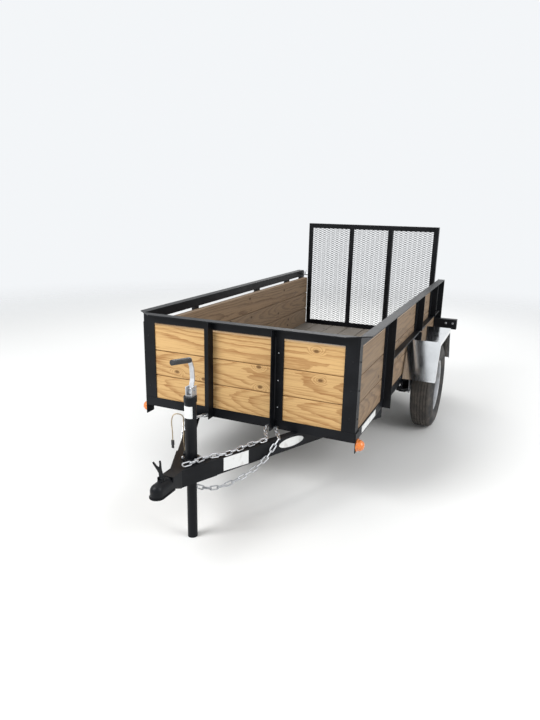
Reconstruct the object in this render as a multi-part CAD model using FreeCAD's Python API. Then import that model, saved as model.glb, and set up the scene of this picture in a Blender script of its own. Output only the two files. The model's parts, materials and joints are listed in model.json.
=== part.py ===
"""Utility trailer with wooden sides, a ramp gate and a tongue jack.

Construction frame, in millimetres: X across (plus is the trailer's left), Y rearwards from the
front wall's face, Z up from the ground.  At the end every piece is moved along Y, so that the
origin lies on the ground under the middle of the whole trailer.
"""
import FreeCAD, Part
import math
import os

V = FreeCAD.Vector

# Bed frame: width over the angle irons, length, height of its underside, angle section
bed_width = 1232.0
bed_length = 2460.0
rail_z = 390.0
leg = 51.0
angle_t = 5.0
cross_count = 3
half_w = bed_width / 2
axle_y = bed_length - 995.0
skin_x = half_w - angle_t

# Boards: deck and walls
board_t = 38.0
board_w = 140.0
board_gap = 4.0
board_rows = 3
deck_count = 8
root_clear = 6.0
deck_z = rail_z + angle_t + board_t
rail_top = rail_z + leg

# Walls: height of the top rail, the corners' clip, the mid rail over the fenders
wall_z = 926.0
clip_front = 112.0
clip_side = 88.0
post_seat = wall_z - leg
lip_y = angle_t - leg
lip_x = skin_x + leg

# Uprights: Y of each outstanding leg on the sides with the height it starts from
corner_leg = 72.0
front_post_x = 178.0
side_post_rows = [(axle_y - 884.0, "floor"), (axle_y + 35.0, "mid"), (axle_y + 645.0, "mid"),
                  (bed_length, "floor")]

# Tongue: channel legs under the frame, at an angle to the middle line
tongue_angle = math.radians(25.0)
tongue_apex_y = -687.0
channel_h = 76.0
channel_flange = 38.0
channel_t = 5.0
tongue_front_y = -640.0
tongue_z = rail_z - channel_h

# Coupler: pressed shell for a 50.8 mm ball
ball_r = 25.4
socket_clear = 0.6
ball_y = -774.0
ball_z = 362.0
shell_t = 4.0
nose_r = 30.0
lip_w = 4.0
lip_t = 5.0
wing_back_y = -464.0
neck_y = -700.0
nose_z = 337.0
knee_drop_y = -690.0
flange_end_y = -640.0
latch_w = 26.0
latch_t = 5.0
latch_y0 = -742.0
latch_rise = 54.0
prong_w = 9.0
prong_tips = ((-38.0, 79.0), (-4.0, 91.0))

# Jack: outer tube, inner leg, crank
jack_y = -507.0
jack_tube_r = 27.0
jack_wall = 3.0
jack_bottom_z = 298.0
jack_top_z = 693.0
jack_leg_r = 23.0
jack_leg_wall = 3.0
jack_leg_top = 425.0
jack_stroke = 250.0
jack_cap_r = 30.0
jack_cap_h = 24.0
jack_plate_t = 6.0
jack_plate_r = 42.0
cap_wall = 5.0
foot_t = 8.0
crank_bar_w = 22.0
crank_bar_t = 6.0
clevis_w = 34.0
clevis_d = 26.0
clevis_h = 44.0
clevis_slot = 8.0
crank_line = ((0.0, 12.0), (18.0, 76.0), (13.0, 130.0), (-8.0, 176.0))
grip_turn = math.radians(12.0)
grip_rise = 0.1
grip_r = 12.5
grip_len = 100.0

# Safety chains: wire, width and pitch of a link, routes from the front rail
chain_r = 3.4
chain_w = 24.0
chain_pitch = 36.0
chain_reach = 4.9
lug_w = 22.0
lug_t = 8.0
chain_route = ((200.0, -12.0, 402.0), (226.0, -62.0, 405.0), (258.0, -112.0, 406.0),
               (272.0, -137.0, 401.0), (257.0, -169.0, 366.0), (243.0, -200.0, 328.0),
               (222.0, -244.0, 301.0), (204.0, -282.0, 284.0), (187.0, -318.0, 273.0),
               (170.0, -353.0, 264.0), (125.0, -392.0, 240.0), (72.0, -425.0, 222.0),
               (0.0, -440.0, 216.0))
chain_on_leg = ((154.0, -12.0, 402.0), (160.0, -60.0, 400.0), (196.0, -118.0, 401.0),
                (226.0, -158.0, 401.0), (213.0, -190.0, 401.0), (190.0, -225.0, 401.0),
                (167.0, -278.0, 401.0), (143.0, -354.0, 401.0), (118.0, -416.0, 401.0),
                (84.0, -456.0, 405.0), (58.0, -500.0, 405.0), (44.0, -550.0, 405.0),
                (16.0, -600.0, 405.0))

# Lighting lead: a limp cord from a collar on the coupler, up the jack, to a flat plug
cord_r = 2.5
collar_r = 8.0
collar_h = 8.0
plug_w = 14.0
plug_t = 7.0
plug_len = 40.0
cord_route = ((-48.0, -486.0, 402.0), (-48.0, -486.0, 432.0), (-31.0, -520.0, 470.0),
              (-28.0, -521.0, 525.0), (-31.0, -519.0, 565.0), (-29.0, -520.0, 605.0),
              (-69.0, -538.0, 612.0), (-81.0, -541.0, 572.0), (-77.0, -538.0, 525.0),
              (-77.0, -538.0, 482.0))

# Wheels and axle
tyre_od = 604.0
wheel_sides = 28
tyre_section = 155.0
tread_w = 116.0
wheel_x = 740.0
rim_bead_r = 165.0
rim_lip_r = 179.0
rim_width = 118.0
rim_t = 4.0
bead_w = 14.0
crown_w = 40.0
window_count = 8
window_in_r = 98.0
window_out_r = 126.0
spoke_w = 26.0
cap_sides = 20
axle_r = 30.0
spindle_r = 16.0
hub_r = 36.0
hub_flange_r = 70.0
run_clear = 0.3

# Springs under the axle
spring_x = half_w - angle_t - 23.0
spring_w = 45.0
leaf_t = 7.0
spring_span = 640.0
spring_sag = 80.0
leaf_bends = 4
eye_r = 14.0
eye_bolt_r = 6.5
hanger_t = 4.0
seat_t = 6.0
ubolt_r = 6.0
tie_plate_t = 8.0
tie_edge = 12.0

# Fenders
fender_top_z = 665.0
mid_rail_z = fender_top_z + angle_t
mid_leg = 38.0
fender_out_x = 831.0
fender_top_len = 500.0
fender_foot_len = 730.0
fender_foot_z = 420.0
fender_t = 2.5
fender_lip = 28.0

# Tail lamps and their brackets, marker lamps
bracket_x = 800.0
bracket_z = 520.0
bracket_h = 82.0
bracket_y = bed_length - 60.0
bracket_t = 4.0
lamp_len = 132.0
lamp_h = 66.0
lamp_depth = 34.0
marker_r = 33.0
marker_depth = 38.0
marker_base = 9.0
marker_sides = 24
marker_y = 38.0
marker_z = 368.0
marker_plate_t = 4.0

# Ramp gate
gate_side_gap = 41.0
gate_half_w = half_w - gate_side_gap
gate_z = 430.0
gate_top_z = 1352.0
gate_leg = 40.0
gate_t = 4.0
gate_gap = 6.0
mesh_t = 2.5
mesh_pitch_x = 200.0
mesh_pitch_z = 100.0
mesh_strand = 13.0
hinge_x = 430.0
hinge_z = 412.0
hinge_r = 11.0
hinge_pin_r = 6.0
hinge_off = 14.0
knuckle_len = 40.0
latch_z = 885.0
latch_off = 16.0
latch_pin_r = 6.0
latch_barrel_r = 9.0
latch_pin_x = half_w + 26.0
keeper_x = half_w + 6.0
keeper_t = 6.0
keeper_len = 42.0
keeper_slot = 18.0

gate_y = bed_length + gate_gap
frame_y = gate_y + mesh_t
gate_back = frame_y + gate_leg
hinge_y = bed_length + hinge_off
latch_y = hinge_y + latch_off
nose_y = ball_y - nose_r - lip_w
y_mid = (nose_y + gate_back) / 2


def box(x0, x1, y0, y1, z0, z1):
    """Box between two corners."""
    return Part.makeBox(x1 - x0, y1 - y0, z1 - z0, V(x0, y0, z0))


def prism(points, along):
    """Polygon through 3-D points, extruded by a vector."""
    wire = Part.makePolygon([V(*p) for p in points] + [V(*points[0])])
    return Part.Face(wire).extrude(V(*along))


def rod(start, end, radius):
    """Round bar between two points."""
    a, b = V(*start), V(*end)
    return Part.makeCylinder(radius, (b - a).Length, a, b - a)


def pipe(start, end, radius, bore):
    """Tube between two points."""
    return rod(start, end, radius).cut(rod(start, end, bore))


def fuse(shapes):
    """Join touching shapes into one, with its seams removed."""
    return shapes[0].multiFuse(shapes[1:]).removeSplitter()


def mirror_x(shape):
    """The same piece on the other side."""
    return shape.mirror(V(0, 0, 0), V(1, 0, 0))


def turned(outline, sides):
    """Closed profile of (x, radius) turned about the axle's line with flat facets."""
    z = wheel_r()
    rings = []
    for k in range(sides):
        a = 2 * math.pi * k / sides
        rings.append([V(x, axle_y + r * math.sin(a), z - r * math.cos(a)) for x, r in outline])
    faces = []
    for k in range(sides):
        here, there = rings[k], rings[(k + 1) % sides]
        for i in range(len(outline)):
            j = (i + 1) % len(outline)
            corners = [here[i], here[j]]
            corners += [there[j]] if outline[j][1] > 0 else []
            corners += [there[i]] if outline[i][1] > 0 else []
            if len(corners) > 2:
                faces.append(Part.Face(Part.makePolygon(corners + corners[:1])))
    return Part.Solid(Part.Shell(faces))


def bar(points, radius, sides=6, closed=False):
    """Bar with flat sides along straight runs, mitred where they meet."""
    pts = [V(*p) for p in points]
    count = len(pts)
    runs = [(pts[(i + 1) % count] - pts[i]).normalize() for i in range(count - (not closed))]

    def onto(point, along, i):
        """Slide a point along a run onto the joint plane at path point i."""
        if closed:
            normal = runs[i - 1] + runs[i % count]
        else:
            normal = runs[max(i - 1, 0)] + runs[min(i, len(runs) - 1)]
        return point + along * ((pts[i % count] - point).dot(normal) / along.dot(normal))

    lead = runs[0]
    side = lead.cross(V(0, 0, 1) if abs(lead.z) < 0.9 else V(1, 0, 0)).normalize()
    up = lead.cross(side)
    turns = [2 * math.pi * (k + 0.5) / sides for k in range(sides)]
    ring = [pts[0] + side * (radius * math.cos(a)) + up * (radius * math.sin(a)) for a in turns]
    rings = [[onto(q, lead, 0) for q in ring]]
    for i in range(1, count):
        rings.append([onto(q, runs[i - 1], i) for q in rings[-1]])
    if closed:
        rings.append(rings[0])
    faces = []
    for low, high in zip(rings, rings[1:]):
        for k in range(sides):
            m = (k + 1) % sides
            faces.append(Part.Face(Part.makePolygon([low[k], low[m], high[m], high[k], low[k]])))
    if not closed:
        for end in (rings[0], rings[-1]):
            faces.append(Part.Face(Part.makePolygon(end + end[:1])))
    return Part.Solid(Part.Shell(faces))


def both(shape):
    """A piece and its mirror image, as solids that do not touch."""
    return Part.makeCompound([shape, mirror_x(shape)])


def angle_iron(origin, leg_a, leg_b, along, len_a, len_b, t):
    """Angle iron from its outer corner: leg_a and leg_b are unit directions, along is the length.

    The inner corner has the rolled root radius of a real angle.
    """
    o, a, b = V(*origin), V(*leg_a), V(*leg_b)
    root = t
    p = [o, o + a * len_a, o + a * len_a + b * t, o + a * (t + root) + b * t,
         o + a * t + b * (t + root), o + a * t + b * len_b, o + b * len_b]
    mid = o + (a + b) * (t + root * (1 - math.sqrt(0.5)))
    edges = [Part.LineSegment(p[i], p[i + 1]).toShape() for i in (0, 1, 2)]
    edges.append(Part.Arc(p[3], mid, p[4]).toShape())
    edges += [Part.LineSegment(p[4], p[5]).toShape(), Part.LineSegment(p[5], p[6]).toShape(),
              Part.LineSegment(p[6], p[0]).toShape()]
    return Part.Face(Part.Wire(edges)).extrude(V(*along))


def side_rails():
    """Bottom angle irons, upright leg outside, flat leg inwards under the deck."""
    return both(angle_iron((half_w, 0, rail_z), (-1, 0, 0), (0, 0, 1), (0, bed_length, 0),
                           leg, leg, angle_t))


def end_rails():
    """Front and rear angle irons, coped round the side rails."""
    rails = []
    for y, inward in ((0.0, 1), (bed_length, -1)):
        rail = angle_iron((-skin_x, y, rail_z), (0, inward, 0), (0, 0, 1), (2 * skin_x, 0, 0),
                          leg, leg, angle_t)
        rails.append(rail.cut(side_rails()))
    return Part.makeCompound(rails)


def crossmembers():
    """Angles between the side rails, flat leg up under the deck."""
    inner = half_w - leg
    pitch = bed_length / (cross_count + 1)
    return Part.makeCompound([
        angle_iron((-inner, pitch * (i + 1), rail_z + angle_t), (0, 1, 0), (0, 0, -1),
                   (2 * inner, 0, 0), leg, leg, angle_t)
        for i in range(cross_count)])


def leg_direction():
    """Unit vector rearwards along the left tongue leg."""
    return V(math.sin(tongue_angle), math.cos(tongue_angle), 0)


def leg_normal():
    """Unit vector out of the left tongue leg's web."""
    return V(math.cos(tongue_angle), -math.sin(tongue_angle), 0)


def tongue_leg():
    """Left channel: web outside, flanges inwards, cut square at the first crossmember."""
    along, out = leg_direction(), leg_normal()
    back_y = bed_length / (cross_count + 1)
    apex = V(0, tongue_apex_y, tongue_z)
    up = V(0, 0, 1)
    outline = [(0, 0), (0, channel_h), (-channel_flange, channel_h),
               (-channel_flange, channel_h - channel_t), (-channel_t, channel_h - channel_t),
               (-channel_t, channel_t), (-channel_flange, channel_t), (-channel_flange, 0)]
    corners = [apex + out * a + up * b for a, b in outline]
    reach = (back_y - tongue_apex_y) / math.cos(tongue_angle) + channel_flange
    channel = prism([tuple(c) for c in corners], tuple(along * reach))
    keep = box(0.5, half_w, tongue_front_y, back_y, tongue_z - 1, rail_z + 1)
    return channel.common(keep)


def coupler_outline(offset, back_y):
    """Plan of the coupler's left half as (x, y) from the nose back, grown by an offset."""
    wing = (shell_t + offset) / math.cos(tongue_angle)
    slope = math.tan(tongue_angle)
    neck_x = nose_r + offset
    knee_y = tongue_apex_y + (neck_x - wing) / slope
    back_x = slope * (back_y - tongue_apex_y) + wing
    return neck_x, knee_y, back_x


def coupler_plan(offset, z, height, back_y):
    """Plan of the whole coupler, extruded: round nose, straight neck, wings along the legs."""
    neck_x, knee_y, back_x = coupler_outline(offset, back_y)
    nose = ball_y - neck_x
    left = [(neck_x, ball_y), (neck_x, knee_y), (back_x, back_y), (-back_x, back_y),
            (-neck_x, knee_y), (-neck_x, ball_y)]
    pts = [V(x, y, z) for x, y in left]
    edges = [Part.LineSegment(pts[i], pts[i + 1]).toShape() for i in range(len(pts) - 1)]
    edges.append(Part.Arc(pts[-1], V(0, nose, z), pts[0]).toShape())
    return Part.Face(Part.Wire(edges)).extrude(V(0, 0, height))


def coupler():
    """Pressed shell: ball socket, round-topped neck, flat top over the A, open underneath."""
    top_z = rail_z + shell_t
    wide, low = half_w, tongue_z - 1

    def form(offset):
        """Outside of the shell, or its inside where the offset is negative."""
        r = nose_r + offset
        ceiling = top_z + offset
        plan = coupler_plan(offset, low, ceiling - low, wing_back_y if offset == 0 else 0)
        ridge = fuse([rod((0, ball_y, ball_z), (0, neck_y, ball_z), r),
                      Part.makeSphere(r, V(0, ball_y, ball_z)),
                      rod((0, ball_y, low), (0, ball_y, ball_z), r),
                      box(-r, r, ball_y, neck_y, low, ball_z)])
        return fuse([plan.common(box(-wide, wide, neck_y, wide, low, ceiling)), ridge])

    under = prism([(-wide, nose_y - 1, low - 1), (-wide, nose_y - 1, nose_z),
                   (-wide, knee_drop_y, nose_z), (-wide, flange_end_y, tongue_z),
                   (-wide, wing_back_y + 1, tongue_z), (-wide, wing_back_y + 1, low - 1)],
                  (2 * wide, 0, 0))
    lip = coupler_plan(lip_w, nose_z - lip_t, lip_t, wing_back_y).common(
        box(-wide, wide, nose_y - 1, knee_drop_y, 0, top_z))
    body = fuse([form(0).cut(under), lip])
    pocket_end = ball_y + ball_r + 6
    body = body.cut(form(-shell_t).common(box(-wide, wide, pocket_end, 0, 0, top_z)))
    socket_r = ball_r + socket_clear
    body = body.cut(Part.makeSphere(socket_r, V(0, ball_y, ball_z)))
    body = body.cut(rod((0, ball_y, 0), (0, ball_y, ball_z), socket_r))
    body = body.cut(rod((0, jack_y, 0), (0, jack_y, top_z + 1), jack_tube_r + 1))
    return fuse([body, cord_collar()])


def coupler_latch():
    """Raised latch lever on the neck's ridge: a bar with a foot and a forked tip."""
    ridge = ball_z + nose_r
    half, t = latch_w / 2, latch_t / 2
    foot = box(-half, half, latch_y0 - latch_w / 2, latch_y0 + latch_w, ridge - latch_w / 2,
               ridge + latch_t)
    lever = box(-half * 0.7, half * 0.7, latch_y0 - t, latch_y0 + t, ridge, ridge + latch_rise)
    prongs = []
    for x, rise in prong_tips:
        root, w = x * 0.1, prong_w / 2
        start = ridge + latch_rise - prong_w
        prongs.append(prism([(root - w, latch_y0 - t, start), (root + w, latch_y0 - t, start),
                             (x + w, latch_y0 - t, ridge + rise),
                             (x - w, latch_y0 - t, ridge + rise)], (0, latch_t, 0)))
    pin = bar([(-half - 4, latch_y0, ridge + 10), (half + 4, latch_y0, ridge + 10)], 5, 8)
    return fuse([foot, lever, pin] + prongs).cut(
        rod((0, nose_y, ball_z), (0, neck_y, ball_z), nose_r))


def cord_collar():
    """Collar on the coupler's top that the lighting lead comes out of."""
    x, y, z = cord_route[0]
    return rod((x, y, z - collar_h), (x, y, z), collar_r)


def harness():
    """Lighting lead: straight runs joined by arcs as large as the runs allow."""
    pts = [V(*p) for p in cord_route]
    edges, last, radii = [], pts[0], []
    for here, mid, there in zip(pts, pts[1:], pts[2:]):
        before, past = mid - here, there - mid
        half_turn = before.getAngle(past) / 2
        reach = 0.45 * min(before.Length, past.Length)
        radii.append(reach / math.tan(half_turn))
        before, past = before.normalize(), past.normalize()
        start, end = mid - before * reach, mid + past * reach
        middle = mid + (past - before).normalize() * (radii[-1] / math.cos(half_turn) - radii[-1])
        edges += [Part.LineSegment(last, start).toShape(), Part.Arc(start, middle, end).toShape()]
        last = end
    edges.append(Part.LineSegment(last, pts[-1]).toShape())
    ring = Part.Wire(Part.Circle(pts[0], pts[1] - pts[0], cord_r).toShape())
    path = Part.Wire(edges)
    tube = path.makePipeShell([ring], True, False, 2)
    print("harness radii", [round(r) for r in radii], "length", round(path.Length),
          "volume ratio", round(tube.Volume / (math.pi * cord_r ** 2 * path.Length), 3))
    return tube


def harness_plug():
    """Flat plug on the lead's end."""
    x, y, z = cord_route[-1]
    return box(x - plug_w / 2, x + plug_w / 2, y - plug_t / 2, y + plug_t / 2, z - plug_len, z)


def jack_housing():
    """Outer tube with its cap, and the mounting plate that rests on the coupler."""
    seat = rail_z + shell_t
    bore = jack_tube_r - jack_wall
    tube = pipe((0, jack_y, jack_bottom_z), (0, jack_y, jack_top_z), jack_tube_r, bore)
    cap = rod((0, jack_y, jack_top_z - jack_cap_h), (0, jack_y, jack_top_z), jack_cap_r)
    cap = cap.cut(rod((0, jack_y, 0), (0, jack_y, jack_top_z - cap_wall), bore))
    plate = rod((0, jack_y, seat), (0, jack_y, seat + jack_plate_t), jack_plate_r)
    plate = plate.cut(rod((0, jack_y, 0), (0, jack_y, jack_top_z), bore))
    return fuse([tube, cap, plate])


def jack_leg():
    """Inner tube with a closed foot."""
    tube = rod((0, jack_y, 0), (0, jack_y, jack_leg_top), jack_leg_r)
    return tube.cut(rod((0, jack_y, foot_t), (0, jack_y, jack_leg_top),
                        jack_leg_r - jack_leg_wall))


def jack_crank():
    """Zinc clevis on the cap with its pin, and a bent flat-bar arm that stands up in it."""
    half = crank_bar_w / 2
    clevis = box(-clevis_w / 2, clevis_w / 2, jack_y - clevis_d / 2, jack_y + clevis_d,
                 jack_top_z, jack_top_z + clevis_h)
    slot = box(-half - 0.5, half + 0.5, jack_y - clevis_d, jack_y + 2 * clevis_d,
               jack_top_z + clevis_slot, jack_top_z + clevis_h + 1)
    line = [(jack_y + y, jack_top_z + z) for y, z in crank_line]
    back = [(y + crank_bar_t, z) for y, z in line]
    arm = prism([(-half, y, z) for y, z in line + back[::-1]], (crank_bar_w, 0, 0))
    pin_z = jack_top_z + clevis_h / 2 + clevis_slot
    pin = bar([(-clevis_w / 2 - 5, jack_y + crank_bar_t + 2, pin_z),
               (clevis_w / 2 + 5, jack_y + crank_bar_t + 2, pin_z)], 5, 8)
    return fuse([clevis.cut(slot), arm, pin])


def grip_face():
    """Y of the arm's front face, where the grip starts."""
    return jack_y + crank_line[-1][0]


def grip_ends():
    """Start and end of the grip's axis."""
    start = V(0, grip_face(), jack_top_z + crank_line[-1][1] - grip_r * 0.8)
    return start, start + V(-math.sin(grip_turn), -math.cos(grip_turn), grip_rise) * grip_len


def jack_grip():
    """Round plastic grip that points forwards from the crank's end, cut square against the arm."""
    start, end = grip_ends()
    grip = rod(tuple(start - (end - start) * 0.2), tuple(end), grip_r)
    return grip.cut(jack_crank()).common(box(-half_w, half_w, -bed_length, start.y + 6, 0, wall_z
                                             + grip_len))


def corner_cut():
    """Space outside the two corners of the top rails, which are clipped aslant."""
    cut = prism([(lip_x + 1, lip_y - 1, 0), (lip_x + 1, lip_y + clip_side, 0),
                 (lip_x - clip_front, lip_y - 1, 0)], (0, 0, wall_z + leg))
    return both(cut)


def top_rail_front():
    """Front top angle iron: upright leg on the front boards, flat leg pointing out, mitred."""
    rail = angle_iron((-lip_x, angle_t, wall_z), (0, -1, 0), (0, 0, -1), (2 * lip_x, 0, 0),
                      leg, leg, angle_t)
    mitre = prism([(skin_x, angle_t, 0), (lip_x + 1, lip_y - 1, 0), (lip_x + 1, angle_t, 0)],
                  (0, 0, wall_z))
    return rail.cut(both(mitre)).cut(corner_cut())


def top_rails():
    """Side top angle irons, mitred against the front one."""
    rail = angle_iron((skin_x, lip_y, wall_z), (1, 0, 0), (0, 0, -1),
                      (0, bed_length - lip_y, 0), leg, leg, angle_t)
    mitre = prism([(skin_x, angle_t, 0), (skin_x, lip_y - 1, 0), (lip_x + 1, lip_y - 1, 0)],
                  (0, 0, wall_z))
    return both(rail.cut(mitre)).cut(corner_cut())


def mid_rails():
    """Angle irons over the fenders, from the first side post to the rear post."""
    start, end = side_post_rows[0][0], side_post_rows[-1][0] - leg
    return both(angle_iron((skin_x, start, mid_rail_z), (1, 0, 0), (0, 0, -1),
                           (0, end - start, 0), mid_leg, mid_leg, angle_t))


def corner_posts():
    """Front corner angles between the bottom and the top rails."""
    return both(angle_iron((half_w, 0, rail_top), (-1, 0, 0), (0, 1, 0),
                           (0, 0, post_seat - rail_top), corner_leg, leg, angle_t))


def front_posts():
    """Pair of mirrored angles on the front wall, outstanding legs forwards and coped at the rails."""
    x = front_post_x
    flat = angle_iron((x, angle_t, rail_top), (1, 0, 0), (0, -1, 0),
                      (0, 0, post_seat - rail_top), leg, leg, angle_t)
    fin = box(x, x + angle_t, lip_y, 0, rail_z, wall_z - angle_t)
    return both(fuse([flat, fin])).cut(top_rail_front())


def side_posts():
    """Left wall's angles: flat leg on the boards, outstanding leg under the top rail's lip."""
    posts = []
    for y, start in side_post_rows:
        z0 = rail_top if start == "floor" else mid_rail_z
        fin_z = rail_z if start == "floor" else mid_rail_z
        flat = angle_iron((skin_x, y, z0), (1, 0, 0), (0, -1, 0), (0, 0, post_seat - z0),
                          leg, leg, angle_t)
        fin = box(half_w, lip_x, y - angle_t, y, fin_z, wall_z - angle_t)
        posts.append(fuse([flat, fin]).cut(top_rails()))
    return Part.makeCompound(posts)


def board_rows_z():
    """Lower edge of each row of wall boards."""
    return [deck_z + i * (board_w + board_gap) for i in range(board_rows)]


def eased(board, radius=3.0):
    """Board with its long edges eased, as sawn lumber is sold."""
    box_ = board.BoundBox
    long_axis = max((box_.XLength, 0), (box_.YLength, 1), (box_.ZLength, 2))[1]
    edges = [e for e in board.Edges
             if abs(e.Vertexes[0].Point[long_axis] - e.Vertexes[1].Point[long_axis]) > 1]
    return board.makeChamfer(radius, edges)


def front_boards():
    """Boards of the front wall, between the side boards."""
    x = skin_x - board_t
    return Part.makeCompound([eased(box(-x, x, angle_t, angle_t + board_t, z, z + board_w))
                              for z in board_rows_z()])


def side_boards():
    """Boards of the left wall, against the posts."""
    front = angle_t + root_clear
    return Part.makeCompound([eased(box(skin_x - board_t, skin_x, front, bed_length - angle_t,
                                        z, z + board_w)) for z in board_rows_z()])


def deck_boards():
    """Planks along the bed, lying on the rails' flat legs and the crossmembers."""
    edge = skin_x - root_clear
    width = (2 * edge - (deck_count - 1) * board_gap) / deck_count
    front, z = angle_t + root_clear, rail_z + angle_t
    return Part.makeCompound([
        eased(box(-edge + i * (width + board_gap), -edge + i * (width + board_gap) + width,
                  front, bed_length - front, z, z + board_t))
        for i in range(deck_count)])


def fender():
    """Left fender: folded sheet with a flat top, two sloping ends and a turned-down outer lip."""
    top, foot = fender_top_len / 2, fender_foot_len / 2
    rows = [(axle_y - foot, fender_foot_z), (axle_y - top, fender_top_z),
            (axle_y + top, fender_top_z), (axle_y + foot, fender_foot_z)]

    def inside(t):
        """The fold's line moved inwards by t, square to each flat."""
        run = foot - top
        rise = fender_top_z - fender_foot_z
        slant = math.hypot(run, rise)
        shift = t * slant / rise
        corner = t * (slant - run) / rise
        return [(axle_y - foot + shift, fender_foot_z), (axle_y - top + corner, fender_top_z - t),
                (axle_y + top - corner, fender_top_z - t), (axle_y + foot - shift, fender_foot_z)]

    def sheet(t, x0, x1):
        """Band between the outer fold line and the one t inside it."""
        pts = rows + inside(t)[::-1]
        return prism([(x0, y, z) for y, z in pts], (x1 - x0, 0, 0))

    return fuse([sheet(fender_t, half_w + root_clear, fender_out_x),
                 sheet(fender_lip, fender_out_x - fender_t, fender_out_x)])


def wheel_r():
    """Outer radius of the tyre, which is also the axle's height."""
    return tyre_od / 2


def spin(points, y=axle_y):
    """Closed profile of (x, radius) turned about the axle's line."""
    z = wheel_r()
    wire = Part.makePolygon([V(x, y, z + r) for x, r in points + points[:1]])
    return Part.Face(wire).revolve(V(0, y, z), V(1, 0, 0), 360)


def tyre():
    """Left tyre: bead feet, bulging walls and a crowned tread."""
    r, half, tread = wheel_r(), tyre_section / 2, tread_w / 2
    seat = rim_width / 2 - rim_t - 1
    crown = [(crown_w / 2, r), (tread - 5, r - 3), (tread + 3, r - 14)]
    wall = [(half, r - 56), (half - 7, r - 96), (seat, rim_lip_r + 1.5)]
    inner = [(seat, rim_bead_r), (seat - bead_w, rim_bead_r), (half - 14, r - 68)]
    right = crown + wall + inner
    outline = [(-x, q) for x, q in right[::-1]] + right + [(0, r - 17)]
    return turned([(wheel_x + x, q) for x, q in outline], wheel_sides)


def rim():
    """Left rim: rolled barrel with a drop centre, and a dished disc with spokes."""
    half, t, z = rim_width / 2, rim_t, wheel_r()
    drop = rim_bead_r - 22
    shell = [(-half, rim_lip_r), (-half + t, rim_lip_r), (-half + t + 1, rim_bead_r),
             (-20, rim_bead_r), (-14, drop), (14, drop), (20, rim_bead_r),
             (half - t - 1, rim_bead_r), (half - t, rim_lip_r), (half, rim_lip_r),
             (half - 1, rim_bead_r - t), (22, rim_bead_r - t), (16, drop - t),
             (-16, drop - t), (-22, rim_bead_r - t), (-half + 1, rim_bead_r - t)]
    disc = [(t, 34), (t, 78), (22, 94), (18, drop - t + 1), (18 - t, drop - t + 1), (22 - t, 91),
            (0, 76), (0, 34)]
    ring = turned([(wheel_x + x, r) for x, r in shell], wheel_sides)
    dish = turned([(wheel_x + x, r) for x, r in disc], wheel_sides)
    pitch = 2 * math.pi / window_count
    windows = []
    for i in range(window_count):
        corners = []
        for r, side in ((window_in_r, -1), (window_in_r, 1), (window_out_r, 1), (window_out_r, -1)):
            a = pitch * (i + 0.5) + side * (pitch / 2 - spoke_w / 2 / r)
            corners.append((wheel_x - half, axle_y + r * math.cos(a), z + r * math.sin(a)))
        windows.append(prism(corners, (2 * half, 0, 0)))
    return fuse([ring, dish.cut(Part.makeCompound(windows))])


def hub():
    """Left hub: barrel on the spindle, bolt flange behind the rim's disc, dust cap outside."""
    x = wheel_x
    outline = [(x - 66, 0), (x - 66, hub_r), (x - 12, hub_r), (x - 12, hub_flange_r),
               (x, hub_flange_r), (x, 33.5), (x + 26, 30), (x + 50, 25), (x + 52, 0)]
    bore = rod((x - 67, axle_y, wheel_r()), (x + 44, axle_y, wheel_r()), spindle_r + run_clear)
    return turned(outline, cap_sides).cut(bore)


def axle():
    """Straight tube with a spindle at each end and a welded seat over each spring."""
    z = wheel_r()
    tube_x = wheel_x - 66 - 6
    tip = wheel_x + 38
    tube = rod((-tube_x, axle_y, z), (tube_x, axle_y, z), axle_r)
    spindle = rod((-tip, axle_y, z), (tip, axle_y, z), spindle_r)
    seat = box(spring_x - spring_w / 2, spring_x + spring_w / 2, axle_y - 24, axle_y + 24,
               spring_low_z() - leaf_t, z).cut(spring())
    return fuse([tube, spindle, seat, mirror_x(seat)])


def spring_low_z():
    """Top of the spring pack at the axle."""
    return wheel_r() - axle_r - seat_t


def spring_radius():
    """Radius of the master leaf's middle line."""
    half = spring_span / 2
    return (half * half + spring_sag * spring_sag) / (2 * spring_sag)


def eye_z():
    """Height of the spring's eyes."""
    return spring_low_z() - leaf_t / 2 + spring_sag


def spring():
    """Left leaf spring: three stepped leaves bent upwards, with an eye at each end."""
    r = spring_radius()
    centre_z = spring_low_z() - leaf_t / 2 + r
    ends = [math.asin(spring_span / 2 / r) * s for s in (1.0, 0.72, 0.45)]
    x0 = spring_x - spring_w / 2
    shape = []
    for i, end in enumerate(ends):
        turns = [end * k / leaf_bends for k in range(-leaf_bends, leaf_bends + 1)]
        inner = r - leaf_t / 2 + i * leaf_t

        def at(radius, turn):
            """Point on a leaf at an angle from straight down."""
            return (x0, axle_y + radius * math.sin(turn), centre_z - radius * math.cos(turn))

        line = [at(inner, a) for a in turns] + [at(inner + leaf_t + 0.4, a) for a in turns[::-1]]
        shape.append(prism(line, (spring_w, 0, 0)))
    for side in (-1, 1):
        y = axle_y + side * spring_span / 2
        shape.append(bar([(x0, y, eye_z()), (x0 + spring_w, y, eye_z())], eye_r, 12))
    body = fuse(shape)
    for side in (-1, 1):
        y = axle_y + side * spring_span / 2
        body = body.cut(bar([(x0 - 1, y, eye_z()), (x0 + spring_w + 1, y, eye_z())],
                            eye_bolt_r, 8))
    return body


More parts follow.
